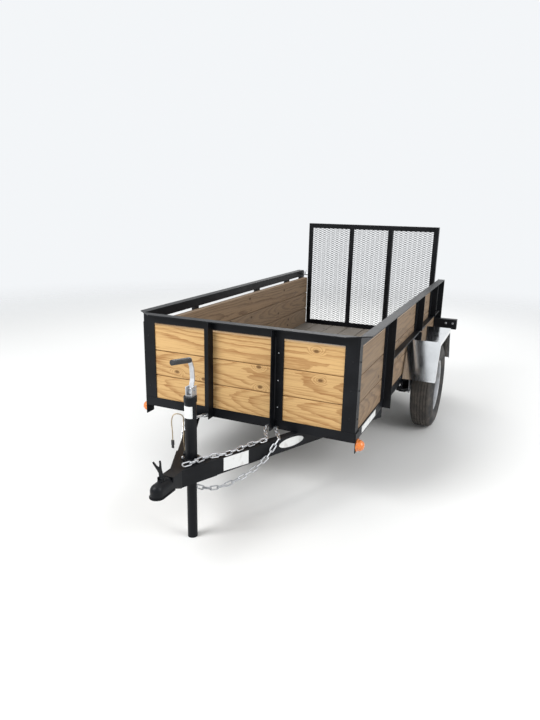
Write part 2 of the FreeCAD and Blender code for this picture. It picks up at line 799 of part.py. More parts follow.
def spring_hangers():
    """Front hangers and rear shackle hangers: two ears each side of the eye, with its bolt."""
    hangers = []
    x_in, x_out = spring_x - spring_w / 2, spring_x + spring_w / 2
    for side in (-1, 1):
        y = axle_y + side * spring_span / 2
        ears = [box(x_in - hanger_t, x_out + hanger_t, y - 30, y + 30, rail_z - hanger_t, rail_z)]
        for x in (x_in - hanger_t, x_out):
            ears.append(prism([(x, y - 30, rail_z), (x, y + 30, rail_z), (x, y + 16, eye_z() - 16),
                               (x, y - 16, eye_z() - 16)], (hanger_t, 0, 0)))
        bolt = bar([(x_in - hanger_t - 8, y, eye_z()), (x_out + hanger_t + 8, y, eye_z())],
                   eye_bolt_r, 8)
        hangers.append(fuse(ears + [bolt]))
    one_side = Part.makeCompound(hangers)
    return Part.makeCompound([one_side, mirror_x(one_side)])


def u_bolts():
    """Two U-bolts and the tie plate that clamp one spring under the axle."""
    z = wheel_r()
    low = spring_low_z() - 3 * leaf_t - 4
    half = axle_r + ubolt_r
    reach = spring_w / 2 + ubolt_r
    rim_y = half + ubolt_r + tie_edge
    pieces = [box(spring_x - reach - tie_edge / 2, spring_x + reach + tie_edge / 2, axle_y - rim_y,
                  axle_y + rim_y, low - tie_plate_t, low)]
    for x in (spring_x - reach, spring_x + reach):
        bend = half / math.cos(math.pi / 8)
        arch = [(x, axle_y - bend * math.cos(a), z + bend * math.sin(a))
                for a in (math.pi / 8, 3 * math.pi / 8, 5 * math.pi / 8, 7 * math.pi / 8)]
        legs = [(x, axle_y - half, low - 2 * tie_plate_t)] + arch + [
            (x, axle_y + half, low - 2 * tie_plate_t)]
        pieces.append(bar(legs, ubolt_r))
    return both(fuse(pieces))


def lamp_brackets():
    """Bent plates behind the fenders that carry the tail lamps."""
    x0 = half_w
    face = box(x0, bracket_x, bracket_y, bracket_y + bracket_t, bracket_z, bracket_z + bracket_h)
    top = box(x0, bracket_x, bracket_y, bed_length - angle_t, bracket_z + bracket_h - bracket_t,
              bracket_z + bracket_h)
    end = box(bracket_x - bracket_t, bracket_x, bracket_y, bed_length - angle_t, bracket_z,
              bracket_z + bracket_h)
    return both(fuse([face, top, end]).cut(side_posts()))


def tail_lamps():
    """Red lamps on the brackets' rear faces."""
    x1 = bracket_x - bracket_t - 2
    z = bracket_z + (bracket_h - bracket_t - lamp_h) / 2
    y = bracket_y + bracket_t
    lamp = box(x1 - lamp_len, x1, y, y + lamp_depth, z, z + lamp_h)
    edges = [e for e in lamp.Edges if abs(e.BoundBox.YMin - y - lamp_depth) < 0.01
             and abs(e.BoundBox.YMax - y - lamp_depth) < 0.01]
    return both(lamp.makeFillet(6, edges))


def marker_lamps():
    """Amber domes at the front corners, each on a plate that hangs below the side rail."""
    out = half_w + marker_plate_t
    rows = ((0, 1.0), (marker_base, 1.0), (marker_base, 0.9), (marker_depth * 0.7, 0.78),
            (marker_depth, 0.4))
    rings = []
    for x, share in rows:
        turns = [2 * math.pi * k / marker_sides for k in range(marker_sides)]
        rings.append([V(out + x, marker_y + marker_r * share * math.cos(a),
                        marker_z + marker_r * share * math.sin(a)) for a in turns])
    faces = [Part.Face(Part.makePolygon(end + end[:1])) for end in (rings[0], rings[-1])]
    for low, high in zip(rings, rings[1:]):
        for k in range(marker_sides):
            m = (k + 1) % marker_sides
            faces.append(Part.Face(Part.makePolygon([low[k], low[m], high[m], high[k], low[k]])))
    return both(Part.Solid(Part.Shell(faces)))


def marker_plates():
    """Plates between the side rails and the marker lamps."""
    return both(box(half_w, half_w + marker_plate_t, marker_y - marker_r, marker_y + marker_r,
                    marker_z - marker_r, rail_top - angle_t))


def gate_frame():
    """Angle-iron frame: outer uprights, top and bottom bars, two inner uprights."""
    w, y = gate_half_w, frame_y
    height = gate_top_z - gate_z
    members = []
    for x, turn in ((-w, 1), (w, -1), (-w / 3, 1), (w / 3, -1)):
        members.append(angle_iron((x, y, gate_z), (turn, 0, 0), (0, 1, 0), (0, 0, height),
                                  gate_leg, gate_leg, gate_t))
    for z, turn in ((gate_z, 1), (gate_top_z, -1)):
        members.append(angle_iron((-w, y, z), (0, 0, turn), (0, 1, 0), (2 * w, 0, 0),
                                  gate_leg, gate_leg, gate_t))
    return fuse(members)


def gate_mesh():
    """Sheet with rows of long diamond openings on the frame's front face."""
    sheet = box(-gate_half_w, gate_half_w, gate_y, gate_y + mesh_t, gate_z, gate_top_z)
    half_x, half_z = mesh_pitch_x / 2, mesh_pitch_z / 2
    cut_x, cut_z = half_x - mesh_strand, half_z - mesh_strand / 2
    rows = int((gate_top_z - gate_z) / half_z)
    holes = []
    for j in range(1, rows):
        z = gate_z + j * half_z + (gate_top_z - gate_z - rows * half_z) / 2
        shift = half_x if j % 2 else 0.0
        n = int((gate_half_w - cut_x - 8 - shift) / mesh_pitch_x)
        for i in range(-n - (1 if shift else 0), n + 1):
            x = i * mesh_pitch_x + shift
            holes.append(prism([(x - cut_x, gate_y, z), (x, gate_y, z - cut_z),
                                (x + cut_x, gate_y, z), (x, gate_y, z + cut_z)], (0, mesh_t, 0)))
    return sheet.cut(Part.makeCompound(holes))


def gate_knuckles():
    """The gate's half of each hinge: two short tubes with a strap up to the bottom bar."""
    knuckles = []
    for start in (hinge_x - 1.5 * knuckle_len - 1, hinge_x + 0.5 * knuckle_len + 1):
        tube = pipe((start, hinge_y, hinge_z), (start + knuckle_len, hinge_y, hinge_z), hinge_r,
                    hinge_pin_r + run_clear)
        strap = box(start, start + knuckle_len, hinge_y - 5, hinge_y + 5,
                    hinge_z + hinge_pin_r + 2, gate_z)
        knuckles.append(fuse([tube, strap]))
    pair = Part.makeCompound(knuckles)
    return Part.makeCompound([pair, mirror_x(pair)])


def gate_hinges():
    """The chassis half of each hinge: a lug on the rear rail, its tube and the pin."""
    half = knuckle_len / 2
    lug = box(hinge_x - half, hinge_x + half, bed_length, hinge_y, hinge_z - 6, hinge_z + 6)
    tube = rod((hinge_x - half, hinge_y, hinge_z), (hinge_x + half, hinge_y, hinge_z), hinge_r)
    pin = rod((hinge_x - 1.5 * knuckle_len - 6, hinge_y, hinge_z),
              (hinge_x + 1.5 * knuckle_len + 6, hinge_y, hinge_z), hinge_pin_r)
    return both(fuse([lug, tube, pin]))


def gate_latches():
    """Zinc bolt in its barrel on each outer upright, with a bent handle."""
    start = gate_half_w
    barrel = bar([(start, latch_y, latch_z), (start + 28, latch_y, latch_z)], latch_barrel_r, 10)
    pin = bar([(start, latch_y, latch_z), (latch_pin_x, latch_y, latch_z)], latch_pin_r, 8)
    handle = bar([(start + 34, latch_y, latch_z), (start + 34, latch_y + 3, latch_z + 20),
                  (start + 28, latch_y + 14, latch_z + 38)], 4)
    return both(fuse([barrel, pin, handle]))


def latch_keepers():
    """Plates behind the rear posts whose slots, open rearwards, hold the bolts."""
    plate = box(keeper_x, keeper_x + keeper_t, bed_length, bed_length + keeper_len,
                latch_z - 24, latch_z + 24)
    slot = box(keeper_x - 1, keeper_x + keeper_t + 1, latch_y - keeper_slot / 2,
               bed_length + keeper_len + 1, latch_z - keeper_slot / 2, latch_z + keeper_slot / 2)
    return both(plate.cut(slot))


def chain_links(route, turn=0.0):
    """Chain along a route: rings of bar, each a quarter turn from the last, that touch."""
    ends = [V(*p) for p in route]
    total = sum((b - a).Length for a, b in zip(ends, ends[1:]))
    pitch = total / round(total / chain_pitch)
    spots, gone = [ends[0]], pitch
    for a, b in zip(ends, ends[1:]):
        length = (b - a).Length
        while gone <= length + 0.01:
            spots.append(a + (b - a) * (gone / length))
            gone += pitch
        gone -= length
    links = []
    for i, (a, b) in enumerate(zip(spots, spots[1:])):
        along = (b - a).normalize()
        flat = along.cross(V(0, 0, 1) if abs(along.z) < 0.9 else V(1, 0, 0)).normalize()
        rise = along.cross(flat)
        roll = turn + math.pi / 2 * (i % 2)
        across = flat * math.cos(roll) + rise * math.sin(roll)
        mid, far = (a + b) / 2, (b - a).Length / 2 + chain_reach
        half = chain_w / 2 - chain_r
        ring = [mid + along * u + across * v
                for u, v in ((far, 0), (far * 0.5, half), (-far * 0.5, half), (-far, 0),
                             (-far * 0.5, -half), (far * 0.5, -half))]
        links.append(bar([tuple(q) for q in ring], chain_r, 4, True))
    return fuse(links)


def safety_chains():
    """Chain slung under the tongue between lugs on the front rail, and one laid on the left leg."""
    slung = [(x, y, z) for x, y, z in chain_route] + [(-x, y, z) for x, y, z in
                                                      reversed(chain_route[:-1])]

    def lug(start):
        """Tab on the front rail that holds a chain's first link."""
        x, y, z = start
        return box(x - lug_w / 2, x + lug_w / 2, y - lug_t, 0, z - lug_t / 2, z + lug_t / 2)

    tab = lug(chain_route[0])
    long_one = fuse([chain_links(slung), tab, mirror_x(tab)])
    return long_one, fuse([chain_links(chain_on_leg, math.pi / 4), lug(chain_on_leg[0])])


def export(name, shape):
    """Move a piece into the final frame and write its STEP file."""
    moved = shape.copy()
    moved.translate(V(0, -y_mid, 0))
    moved.exportStep("parts/" + name + ".step")
    bad = [s for s in moved.Solids if not s.isValid()]
    print(name, len(moved.Solids), "solids", "INVALID" if bad or not moved.Solids else "ok",
          round(moved.Volume / 1000), "cm3")


def main():
    """Build every piece."""
    os.makedirs("parts", exist_ok=True)
    slung, laid = safety_chains()
    pieces = {
        "side_rails": side_rails(), "end_rails": end_rails(), "crossmembers": crossmembers(),
        "tongue_legs": both(tongue_leg()), "coupler": coupler(), "coupler_latch": coupler_latch(),
        "jack_housing": jack_housing(), "jack_leg": jack_leg(), "jack_crank": jack_crank(),
        "jack_grip": jack_grip(), "chain_slung": slung, "chain_laid": laid,
        "harness": harness(), "harness_plug": harness_plug(),
        "top_rail_front": top_rail_front(), "top_rails": top_rails(), "mid_rails": mid_rails(),
        "corner_posts": corner_posts(), "front_posts": front_posts(),
        "side_posts": both(side_posts()), "front_boards": front_boards(),
        "side_boards": both(side_boards()), "deck_boards": deck_boards(),
        "axle": axle(), "u_bolts": u_bolts(), "springs": both(spring()),
        "spring_hangers": spring_hangers(),
        "lamp_brackets": lamp_brackets(), "tail_lamps": tail_lamps(),
        "marker_plates": marker_plates(), "marker_lamps": marker_lamps(),
        "gate_frame": gate_frame(), "gate_mesh": gate_mesh(), "gate_knuckles": gate_knuckles(),
        "gate_latches": gate_latches(), "gate_hinges": gate_hinges(),
        "latch_keepers": latch_keepers(),
    }
    for name, make in (("fender", fender), ("tyre", tyre), ("rim", rim), ("hub", hub)):
        left = make()
        pieces[name + "_left"] = left
        pieces[name + "_right"] = mirror_x(left)
    for name, shape in pieces.items():
        export(name, shape)


main()
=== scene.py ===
"""Utility trailer with wooden sides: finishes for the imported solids, and small repeated parts."""
import json
import logging
import math
from dataclasses import dataclass, field
from enum import Enum

import bmesh
import bpy
from mathutils import Matrix, Vector


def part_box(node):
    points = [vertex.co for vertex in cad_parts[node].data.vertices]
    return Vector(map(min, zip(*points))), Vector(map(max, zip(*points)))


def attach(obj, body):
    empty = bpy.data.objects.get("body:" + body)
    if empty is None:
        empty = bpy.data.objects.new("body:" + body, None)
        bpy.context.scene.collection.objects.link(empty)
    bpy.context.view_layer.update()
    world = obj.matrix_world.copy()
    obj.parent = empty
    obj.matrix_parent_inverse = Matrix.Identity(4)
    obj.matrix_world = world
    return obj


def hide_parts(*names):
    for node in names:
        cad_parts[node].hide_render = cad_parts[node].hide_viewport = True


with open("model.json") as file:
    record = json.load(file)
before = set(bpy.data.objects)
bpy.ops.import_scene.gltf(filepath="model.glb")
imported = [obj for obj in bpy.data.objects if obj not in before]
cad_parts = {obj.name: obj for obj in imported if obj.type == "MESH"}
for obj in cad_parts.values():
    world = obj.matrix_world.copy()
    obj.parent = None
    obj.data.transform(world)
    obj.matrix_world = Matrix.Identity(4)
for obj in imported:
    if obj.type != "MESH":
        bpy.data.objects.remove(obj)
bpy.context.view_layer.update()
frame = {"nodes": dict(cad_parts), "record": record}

logging.basicConfig(level=logging.INFO, format="%(message)s")
LOG = logging.getLogger("trailer")

Colour = tuple[float, float, float]
Point = tuple[float, float, float]
Profile = tuple[tuple[float, float], ...]
Place = tuple[Vector, Matrix, float]
Slots = dict[str, bpy.types.Material]

FRONT_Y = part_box("end_rails")[0].y
SKIN_X = 616.0
JACK_Y = -507.0
BOARD_GAP = 0.004
WALL_ROWS = 3
PLANKS = 8
SHARP_ANGLE = math.radians(35.0)
SIDES = (-1, 1)
UP = Vector((0, 0, 1))
AHEAD = Vector((0, -1, 0))
LEFTWARD = Vector((1, 0, 0))


class Axis(Enum):
    """Direction in which a board's grain or a row of boards runs."""

    X = 0
    Y = 1
    Z = 2


class Value:
    """A number socket of a node tree that works in Python expressions."""

    def __init__(self, tree: "Tree", socket: bpy.types.NodeSocket) -> None:
        """Wrap a socket.

        Args:
            tree: the tree that new nodes go into.
            socket: the output that holds the number.
        """
        self.tree = tree
        self.socket = socket

    def maths(self, operation: str, *terms: "Value | float") -> "Value":
        """Add one Math node.

        Args:
            operation: the node's operation.
            terms: its inputs in order.

        Returns:
            The node's result.
        """
        return self.tree.value("ShaderNodeMath", {"operation": operation}, dict(enumerate(terms)))

    def __add__(self, other: "Value | float") -> "Value":
        """Sum."""
        return self.maths("ADD", self, other)

    def __radd__(self, other: float) -> "Value":
        """Sum with a number in front."""
        return self.maths("ADD", other, self)

    def __sub__(self, other: "Value | float") -> "Value":
        """Difference."""
        return self.maths("SUBTRACT", self, other)

    def __rsub__(self, other: float) -> "Value":
        """Difference from a number."""
        return self.maths("SUBTRACT", other, self)

    def __mul__(self, other: "Value | float") -> "Value":
        """Product."""
        return self.maths("MULTIPLY", self, other)

    def __rmul__(self, other: float) -> "Value":
        """Product with a number in front."""
        return self.maths("MULTIPLY", other, self)

    def __truediv__(self, other: "Value | float") -> "Value":
        """Quotient."""
        return self.maths("DIVIDE", self, other)

    def __rtruediv__(self, other: float) -> "Value":
        """Quotient with a number on top."""
        return self.maths("DIVIDE", other, self)

    def floor(self) -> "Value":
        """Whole part."""
        return self.maths("FLOOR", self)

    def fraction(self) -> "Value":
        """Part after the point."""
        return self.maths("FRACT", self)

    def sine(self) -> "Value":
        """Sine of the value in radians."""
        return self.maths("SINE", self)

    def root(self) -> "Value":
        """Square root."""
        return self.maths("SQRT", self)

    def most(self, other: "Value") -> "Value":
        """The larger of the two."""
        return self.maths("MAXIMUM", self, other)

    def ramp(self, low: float, high: float, start: float = 0.0, end: float = 1.0) -> "Value":
        """Smooth step from start to end between two limits.

        Args:
            low: value where the step starts.
            high: value where it ends.
            start: result below the step.
            end: result above it.

        Returns:
            The stepped value.
        """
        return self.tree.value("ShaderNodeMapRange", {"interpolation_type": "SMOOTHSTEP"}, {
            "Value": self, "From Min": low, "From Max": high, "To Min": start, "To Max": end},
            "Result")


class Tree:
    """A node tree under construction, of a material, of the world or of Geometry Nodes."""

    def __init__(self, tree: bpy.types.NodeTree) -> None:
        """Keep the tree that the nodes go into."""
        self.tree = tree

    def node(self, kind: str, settings: dict[str, object],
             inputs: dict[str | int, object]) -> bpy.types.Node:
        """Add a node, its settings first.

        Args:
            kind: the node's type.
            settings: attributes to set.
            inputs: sockets by name or number, each a value, a socket or a Value.

        Returns:
            The node.
        """
        node = self.tree.nodes.new(kind)
        for key, item in settings.items():
            setattr(node, key, item)
        for key, item in inputs.items():
            self.feed(node.inputs[key], item)
        return node

    def value(self, kind: str, settings: dict[str, object], inputs: dict[str | int, object],
              output: str | int = 0) -> Value:
        """Add a node whose output is a number.

        Args:
            kind: the node's type.
            settings: attributes to set.
            inputs: sockets by name or number.
            output: the output that is wanted.

        Returns:
            That output.
        """
        return Value(self, self.node(kind, settings, inputs).outputs[output])

    def feed(self, slot: bpy.types.NodeSocket, item: object) -> None:
        """Give a socket a value or a link.

        Args:
            slot: the socket.
            item: a number, a tuple, a socket or a Value.
        """
        if isinstance(item, Value):
            self.tree.links.new(item.socket, slot)
        elif isinstance(item, bpy.types.NodeSocket):
            self.tree.links.new(item, slot)
        elif isinstance(item, tuple) and len(item) == 3 and slot.type == "RGBA":
            slot.default_value = (*item, 1.0)
        else:
            slot.default_value = item


class Recipe(Tree):
    """One material under construction, around a Principled shader."""

    def __init__(self, name: str, **constants: float) -> None:
        """Start the material.

        Args:
            name: the material's name.
            constants: values for the shader's own sockets, with _ for each space.
        """
        self.material = bpy.data.materials.new(name)
        self.material.use_nodes = True
        super().__init__(self.material.node_tree)
        self.tree.nodes.clear()
        self.shader = self.node("ShaderNodeBsdfPrincipled", {}, {
            key.replace("_", " "): number for key, number in constants.items()})
        self.node("ShaderNodeOutputMaterial", {}, {"Surface": self.shader.outputs[0]})
        self.coords = self.node("ShaderNodeTexCoord", {}, {}).outputs["Object"]

    def parts(self, vector: bpy.types.NodeSocket) -> tuple[Value, ...]:
        """Take a vector apart.

        Args:
            vector: the vector.

        Returns:
            Its X, Y and Z.
        """
        node = self.node("ShaderNodeSeparateXYZ", {}, {0: vector})
        return tuple(Value(self, out) for out in node.outputs)

    def scaled(self, scale: Point, shift: Value | None = None) -> bpy.types.NodeSocket:
        """Object coordinates stretched along each axis.

        Args:
            scale: factor for each axis.
            shift: a value added to all three, such as a board's number.

        Returns:
            The stretched vector.
        """
        node = self.node("ShaderNodeVectorMath", {"operation": "MULTIPLY"},
                         {0: self.coords, 1: scale})
        if shift is None:
            return node.outputs[0]
        triple = self.node("ShaderNodeCombineXYZ", {}, {0: shift, 1: shift, 2: shift})
        return self.node("ShaderNodeVectorMath", {"operation": "ADD"},
                         {0: node.outputs[0], 1: triple.outputs[0]}).outputs[0]

    def noise(self, vector: bpy.types.NodeSocket, scale: float, detail: float = 3.0,
              roughness: float = 0.5) -> Value:
        """Noise from 0 to 1.

        Args:
            vector: where it is read.
            scale: how many features to a unit.
            detail: octaves.
            roughness: strength of the finer octaves.

        Returns:
            The noise.
        """
        return self.value("ShaderNodeTexNoise", {"noise_dimensions": "3D"}, {
            "Vector": vector, "Scale": scale, "Detail": detail, "Roughness": roughness})

    def cells(self, vector: bpy.types.NodeSocket, scale: float,
              flat: bool = False) -> tuple[Value, Value]:
        """Cells about random centres.

        Args:
            vector: where they are read.
            scale: how many cells to a unit.
            flat: whether they lie in the vector's X and Y only.

        Returns:
            Distance to the nearest centre, and a random number of the cell.
        """
        node = self.node("ShaderNodeTexVoronoi", {
            "feature": "F1", "voronoi_dimensions": "2D" if flat else "3D"},
            {"Vector": vector, "Scale": scale, "Randomness": 1.0})
        tone = self.value("ShaderNodeSeparateColor", {}, {0: node.outputs["Color"]})
        return Value(self, node.outputs["Distance"]), tone

    def mix(self, mask: Value | float, low: object, high: object,
            blend: str = "MIX") -> bpy.types.NodeSocket:
        """Mix two colours.

        Args:
            mask: 0 gives low, 1 gives high.
            low: first colour.
            high: second colour.
            blend: the mix's kind.

        Returns:
            The mixed colour.
        """
        return self.node("ShaderNodeMix", {"data_type": "RGBA", "blend_type": blend},
                         {0: mask, 6: low, 7: high}).outputs[2]

    def bump(self, height: Value, distance: float, strength: float) -> None:
        """Feed the shader's Normal with a bump.

        Args:
            height: the relief from 0 to 1.
            distance: the relief's depth in metres.
            strength: share of it that shows.
        """
        node = self.node("ShaderNodeBump", {}, {
            "Height": height, "Distance": distance, "Strength": strength})
        self.drive("Normal", node.outputs[0])

    def drive(self, name: str, item: object) -> None:
        """Feed one of the shader's sockets.

        Args:
            name: the socket.
            item: what varies over the surface.
        """
        self.feed(self.shader.inputs[name], item)


@dataclass(frozen=True)
class Paint:
    """Semi-gloss black paint on rolled steel, with dust on what faces up."""

    name: str = "black paint"
    base: Colour = (0.0030, 0.0036, 0.0050)
    worn: Colour = (0.007, 0.0078, 0.0098)
    dust: Colour = (0.16, 0.15, 0.135)
    dust_share: float = 0.055
    gloss: float = 0.30
    coat: float = 0.04
    relief: float = 0.0008

    def make(self) -> bpy.types.Material:
        """Build the material.

        Returns:
            The painted finish.
        """
        kit = Recipe(self.name, Metallic=0.0, Coat_Roughness=0.15, Specular_IOR_Level=0.14)
        patches = kit.noise(kit.coords, 6.0, 4.0)
        fine = kit.noise(kit.coords, 60.0, 4.0, 0.6)
        facing = kit.parts(kit.node("ShaderNodeNewGeometry", {}, {}).outputs["Normal"])
        up = facing[2].ramp(0.55, 0.95)
        lying = patches.ramp(0.42, 0.62) * 0.7 + fine.ramp(0.45, 0.7) * 0.5
        settled = up * lying * self.dust_share
        specks = kit.noise(kit.coords, 220.0, 2.0).ramp(0.66, 0.74) * 0.25
        tone = kit.mix(patches.ramp(0.35, 0.65), self.base, self.worn)
        kit.drive("Base Color", kit.mix(settled + specks * self.dust_share, tone, self.dust))
        kit.drive("Roughness", self.gloss + fine * 0.16 + up * 0.12)
        kit.drive("Coat Weight", self.coat - settled * 0.2)
        kit.bump(kit.noise(kit.coords, 420.0, 2.0) * 0.35 + patches * 0.65, self.relief, 0.35)
        return kit.material


@dataclass(frozen=True)
class Timber:
    """Sawn pine: growth rings about a pith line, knots, streaks and a shade for each board."""

    name: str
    grain: Axis
    stack: Axis
    first: float
    pitch: float
    light: Colour
    dark: Colour
    grey: Colour
    weather: float
    ring: float = 0.0040
    pith_depth: float = 0.012
    wander: float = 0.012
    ripple: float = 0.0030
    knot_push: float = 0.013
    knot_rate: float = 0.82
    knots_along: float = 6.0
    knots_across: float = 10.0
    chance_step: float = 12.9898
    chance_scale: float = 43758.5453
    relief: float = 0.0006

    def figure(self, kit: Recipe, across: float, along: float, shift: Value | None = None,
               detail: float = 3.0, roughness: float = 0.6) -> Value:
        """Noise that is drawn out along the grain.

        Args:
            kit: the material.
            across: features to a metre across the grain.
            along: features to a metre along it.
            shift: what sets one board's figure off from the next.
            detail: octaves.
            roughness: strength of the finer octaves.

        Returns:
            The noise.
        """
        scale = tuple(along if axis is self.grain else across for axis in Axis)
        return kit.noise(kit.scaled(scale, shift), 1.0, detail, roughness)

    def make(self) -> bpy.types.Material:
        """Build the material.

        Returns:
            The wood.
        """
        kit = Recipe(self.name, Metallic=0.0, Coat_Weight=0.0, Specular_IOR_Level=0.3)
        axes = dict(zip(Axis, kit.parts(kit.coords)))
        along, across = axes.pop(self.grain), axes.pop(self.stack)
        (depth,) = axes.values()
        number = ((across - self.first) / self.pitch).floor()
        local = across - self.first - number * self.pitch - self.pitch / 2
        seed = (number * self.chance_step + 4.1).sine() * self.chance_scale
        chance = seed.fraction()
        other = (seed * 1.37).fraction()
        wander = self.figure(kit, 9.0, 1.5, number * 3.7, 2.0, 0.5)
        ripple = self.figure(kit, 46.0, 9.0, number * 2.9)
        streak = self.figure(kit, 230.0, 4.5, number * 1.7)
        fibre = self.figure(kit, 520.0, 14.0)
        blotch = self.figure(kit, 3.0, 0.5, number * 5.1, 3.0, 0.5)
        face = kit.node("ShaderNodeCombineXYZ", {}, {
            0: along * self.knots_along + number * 7.3,
            1: across * self.knots_across + number * 3.1})
        gap, lot = kit.cells(face.outputs[0], 1.0, True)
        chosen = lot.ramp(self.knot_rate, self.knot_rate + 0.02)
        near_knot = gap.ramp(0.0, 0.34, 1.0, 0.0) * chosen
        heart = gap.ramp(0.05, 0.12, 1.0, 0.0) * chosen
        side = local + (chance - 0.5) * self.pitch * 0.9
        tilt = (chance + other - 1.0) * 0.09
        below = depth * 0.6 + self.pith_depth + other * 0.03 + along * tilt
        radius = (side * side + below * below).root()
        bent = (wander - 0.5) * self.wander
        radius = radius + bent + (ripple - 0.5) * self.ripple + near_knot * self.knot_push
        phase = (radius / self.ring).fraction()
        late = phase.ramp(0.42, 0.93) * (1.0 - phase.ramp(0.94, 1.0))
        darker = late * (0.36 + wander * 0.5) + fibre * 0.14 + streak.ramp(0.46, 0.68) * 0.52
        shade = kit.mix((chance - 0.5) * 0.5 + 0.5, (0.82, 0.79, 0.76), (1.12, 1.11, 1.08))
        tone = kit.mix(1.0, kit.mix(darker, self.light, self.dark), shade, "MULTIPLY")
        greyed = blotch.ramp(0.35, 0.7) * self.weather + self.weather * 0.4 * fibre
        tone = kit.mix(greyed, tone, self.grey)
        knot = tuple(c * 0.42 for c in self.dark)
        kit.drive("Base Color", kit.mix(heart * 0.9, tone, knot))
        kit.drive("Roughness", 0.62 + fibre * 0.2 - late * 0.08)
        kit.bump(late * 0.5 + fibre * 0.5 + heart * 0.3, self.relief, 0.6)
        return kit.material


@dataclass(frozen=True)
class Metal:
    """Bare or plated metal, with brushing, spangle and smudges."""

    name: str
    base: Colour
    gloss: float
    spangle: float
    brushed: Point
    smudge: float
    relief: float = 0.0002

    def make(self) -> bpy.types.Material:
        """Build the material.

        Returns:
            The metal.
        """
        kit = Recipe(self.name, Metallic=1.0)
        lines = kit.noise(kit.scaled(self.brushed), 1.0, 4.0, 0.65)
        smudges = kit.noise(kit.coords, 7.0, 4.0)
        _, flake = kit.cells(kit.coords, 90.0)
        deeper = tuple(c * 0.72 for c in self.base)
        worn = flake * self.spangle + smudges.ramp(0.45, 0.75) * 0.3
        kit.drive("Base Color", kit.mix(worn, self.base, deeper))
        touched = smudges.ramp(0.4, 0.7) * self.smudge
        kit.drive("Roughness", self.gloss + lines * 0.08 + touched + flake * self.spangle * 0.2)
        kit.bump(lines, self.relief, 0.4)
        return kit.material


@dataclass(frozen=True)
class Silver:
    """Silver wheel paint with brake dust in patches."""

    name: str = "wheel silver"
    base: Colour = (0.44, 0.45, 0.47)
    flake: Colour = (0.56, 0.57, 0.59)
    dust: Colour = (0.20, 0.175, 0.15)
    gloss: float = 0.3
    relief: float = 0.0002

    def make(self) -> bpy.types.Material:
        """Build the material.

        Returns:
            The wheel's finish.
        """
        kit = Recipe(self.name, Metallic=0.55, Coat_Weight=0.4, Coat_Roughness=0.15)
        dusty = kit.noise(kit.coords, 14.0, 4.0).ramp(0.5, 0.75) * 0.45
        flakes = kit.noise(kit.coords, 900.0, 1.0)
        silver = kit.mix(flakes * 0.4, self.base, self.flake)
        kit.drive("Base Color", kit.mix(dusty, silver, self.dust))
        kit.drive("Roughness", self.gloss + dusty * 0.5)
        kit.bump(flakes, self.relief, 0.3)
        return kit.material


@dataclass(frozen=True)
class Rubber:
    """Tyre rubber: dust on tread and walls, fine ribs round the wall."""

    axle_y: float
    axle_z: float
    name: str = "tyre rubber"
    base: Colour = (0.018, 0.018, 0.019)
    dust: Colour = (0.15, 0.125, 0.10)
    tread_r: float = 0.28
    rib_turn: float = 2600.0
    relief: float = 0.0006

    def make(self) -> bpy.types.Material:
        """Build the material.

        Returns:
            The rubber.
        """
        kit = Recipe(self.name, Metallic=0.0)
        _, y, z = kit.parts(kit.coords)
        dy, dz = y - self.axle_y, z - self.axle_z
        radius = (dy * dy + dz * dz).root()
        ribs = (radius * self.rib_turn).sine() * 0.5 + 0.5
        band = radius.ramp(0.20, 0.21) * (1.0 - radius.ramp(0.255, 0.265))
        patches = kit.noise(kit.coords, 18.0, 4.0)
        fine = kit.noise(kit.coords, 240.0, 3.0)
        tread = radius.ramp(self.tread_r, self.tread_r + 0.02) * 0.3
        dusty = patches.ramp(0.4, 0.7) * 0.35 + tread
        kit.drive("Base Color", kit.mix(dusty * (0.5 + fine * 0.6), self.base, self.dust))
        kit.drive("Roughness", 0.62 + fine * 0.2)
        kit.bump(ribs * band * 0.5 + fine * 0.5, self.relief, 0.5)
        return kit.material


@dataclass(frozen=True)
class Moulded:
    """Moulded plastic with a fine grain."""

    name: str = "moulded plastic"
    base: Colour = (0.014, 0.014, 0.015)
    gloss: float = 0.42
    relief: float = 0.0003

    def make(self) -> bpy.types.Material:
        """Build the material.

        Returns:
            The plastic.
        """
        kit = Recipe(self.name, Metallic=0.0)
        grain = kit.noise(kit.coords, 700.0, 2.0)
        patches = kit.noise(kit.coords, 25.0, 3.0)
        lighter = tuple(c * 2.4 for c in self.base)
        kit.drive("Base Color", kit.mix(patches.ramp(0.45, 0.7) * 0.5, self.base, lighter))
        kit.drive("Roughness", self.gloss + grain * 0.12)
        kit.bump(grain, self.relief, 0.4)
        return kit.material


@dataclass(frozen=True)
class Lens:
    """Clear coloured plastic over a prism pattern, with a painted glint of light in the prisms."""

    name: str
    base: Colour
    # lighter colour that paints a glint of light into the prisms
    painted_glint: Colour
    cell: float = 0.006
    relief: float = 0.0008

    def make(self) -> bpy.types.Material:
        """Build the material.

        Returns:
            The lens.
        """
        kit = Recipe(self.name, Metallic=0.0, Coat_Weight=1.0, Coat_Roughness=0.05)
        x, y, z = kit.parts(kit.coords)
        turn = 2 * math.pi / self.cell
        prisms = (x * turn).sine() * (z * turn).sine() * 0.5 + (y * turn).sine() * 0.25 + 0.5
        depth = kit.noise(kit.coords, 20.0, 2.0)
        # the lighter colour over the prism pattern is a painted glint of light, not a colour of the
        # plastic
        kit.drive("Base Color", kit.mix(prisms * 0.6 + depth * 0.3, self.base, self.painted_glint))
        kit.drive("Roughness", 0.16 + depth * 0.1)
        kit.bump(prisms, self.relief, 0.35)
        return kit.material


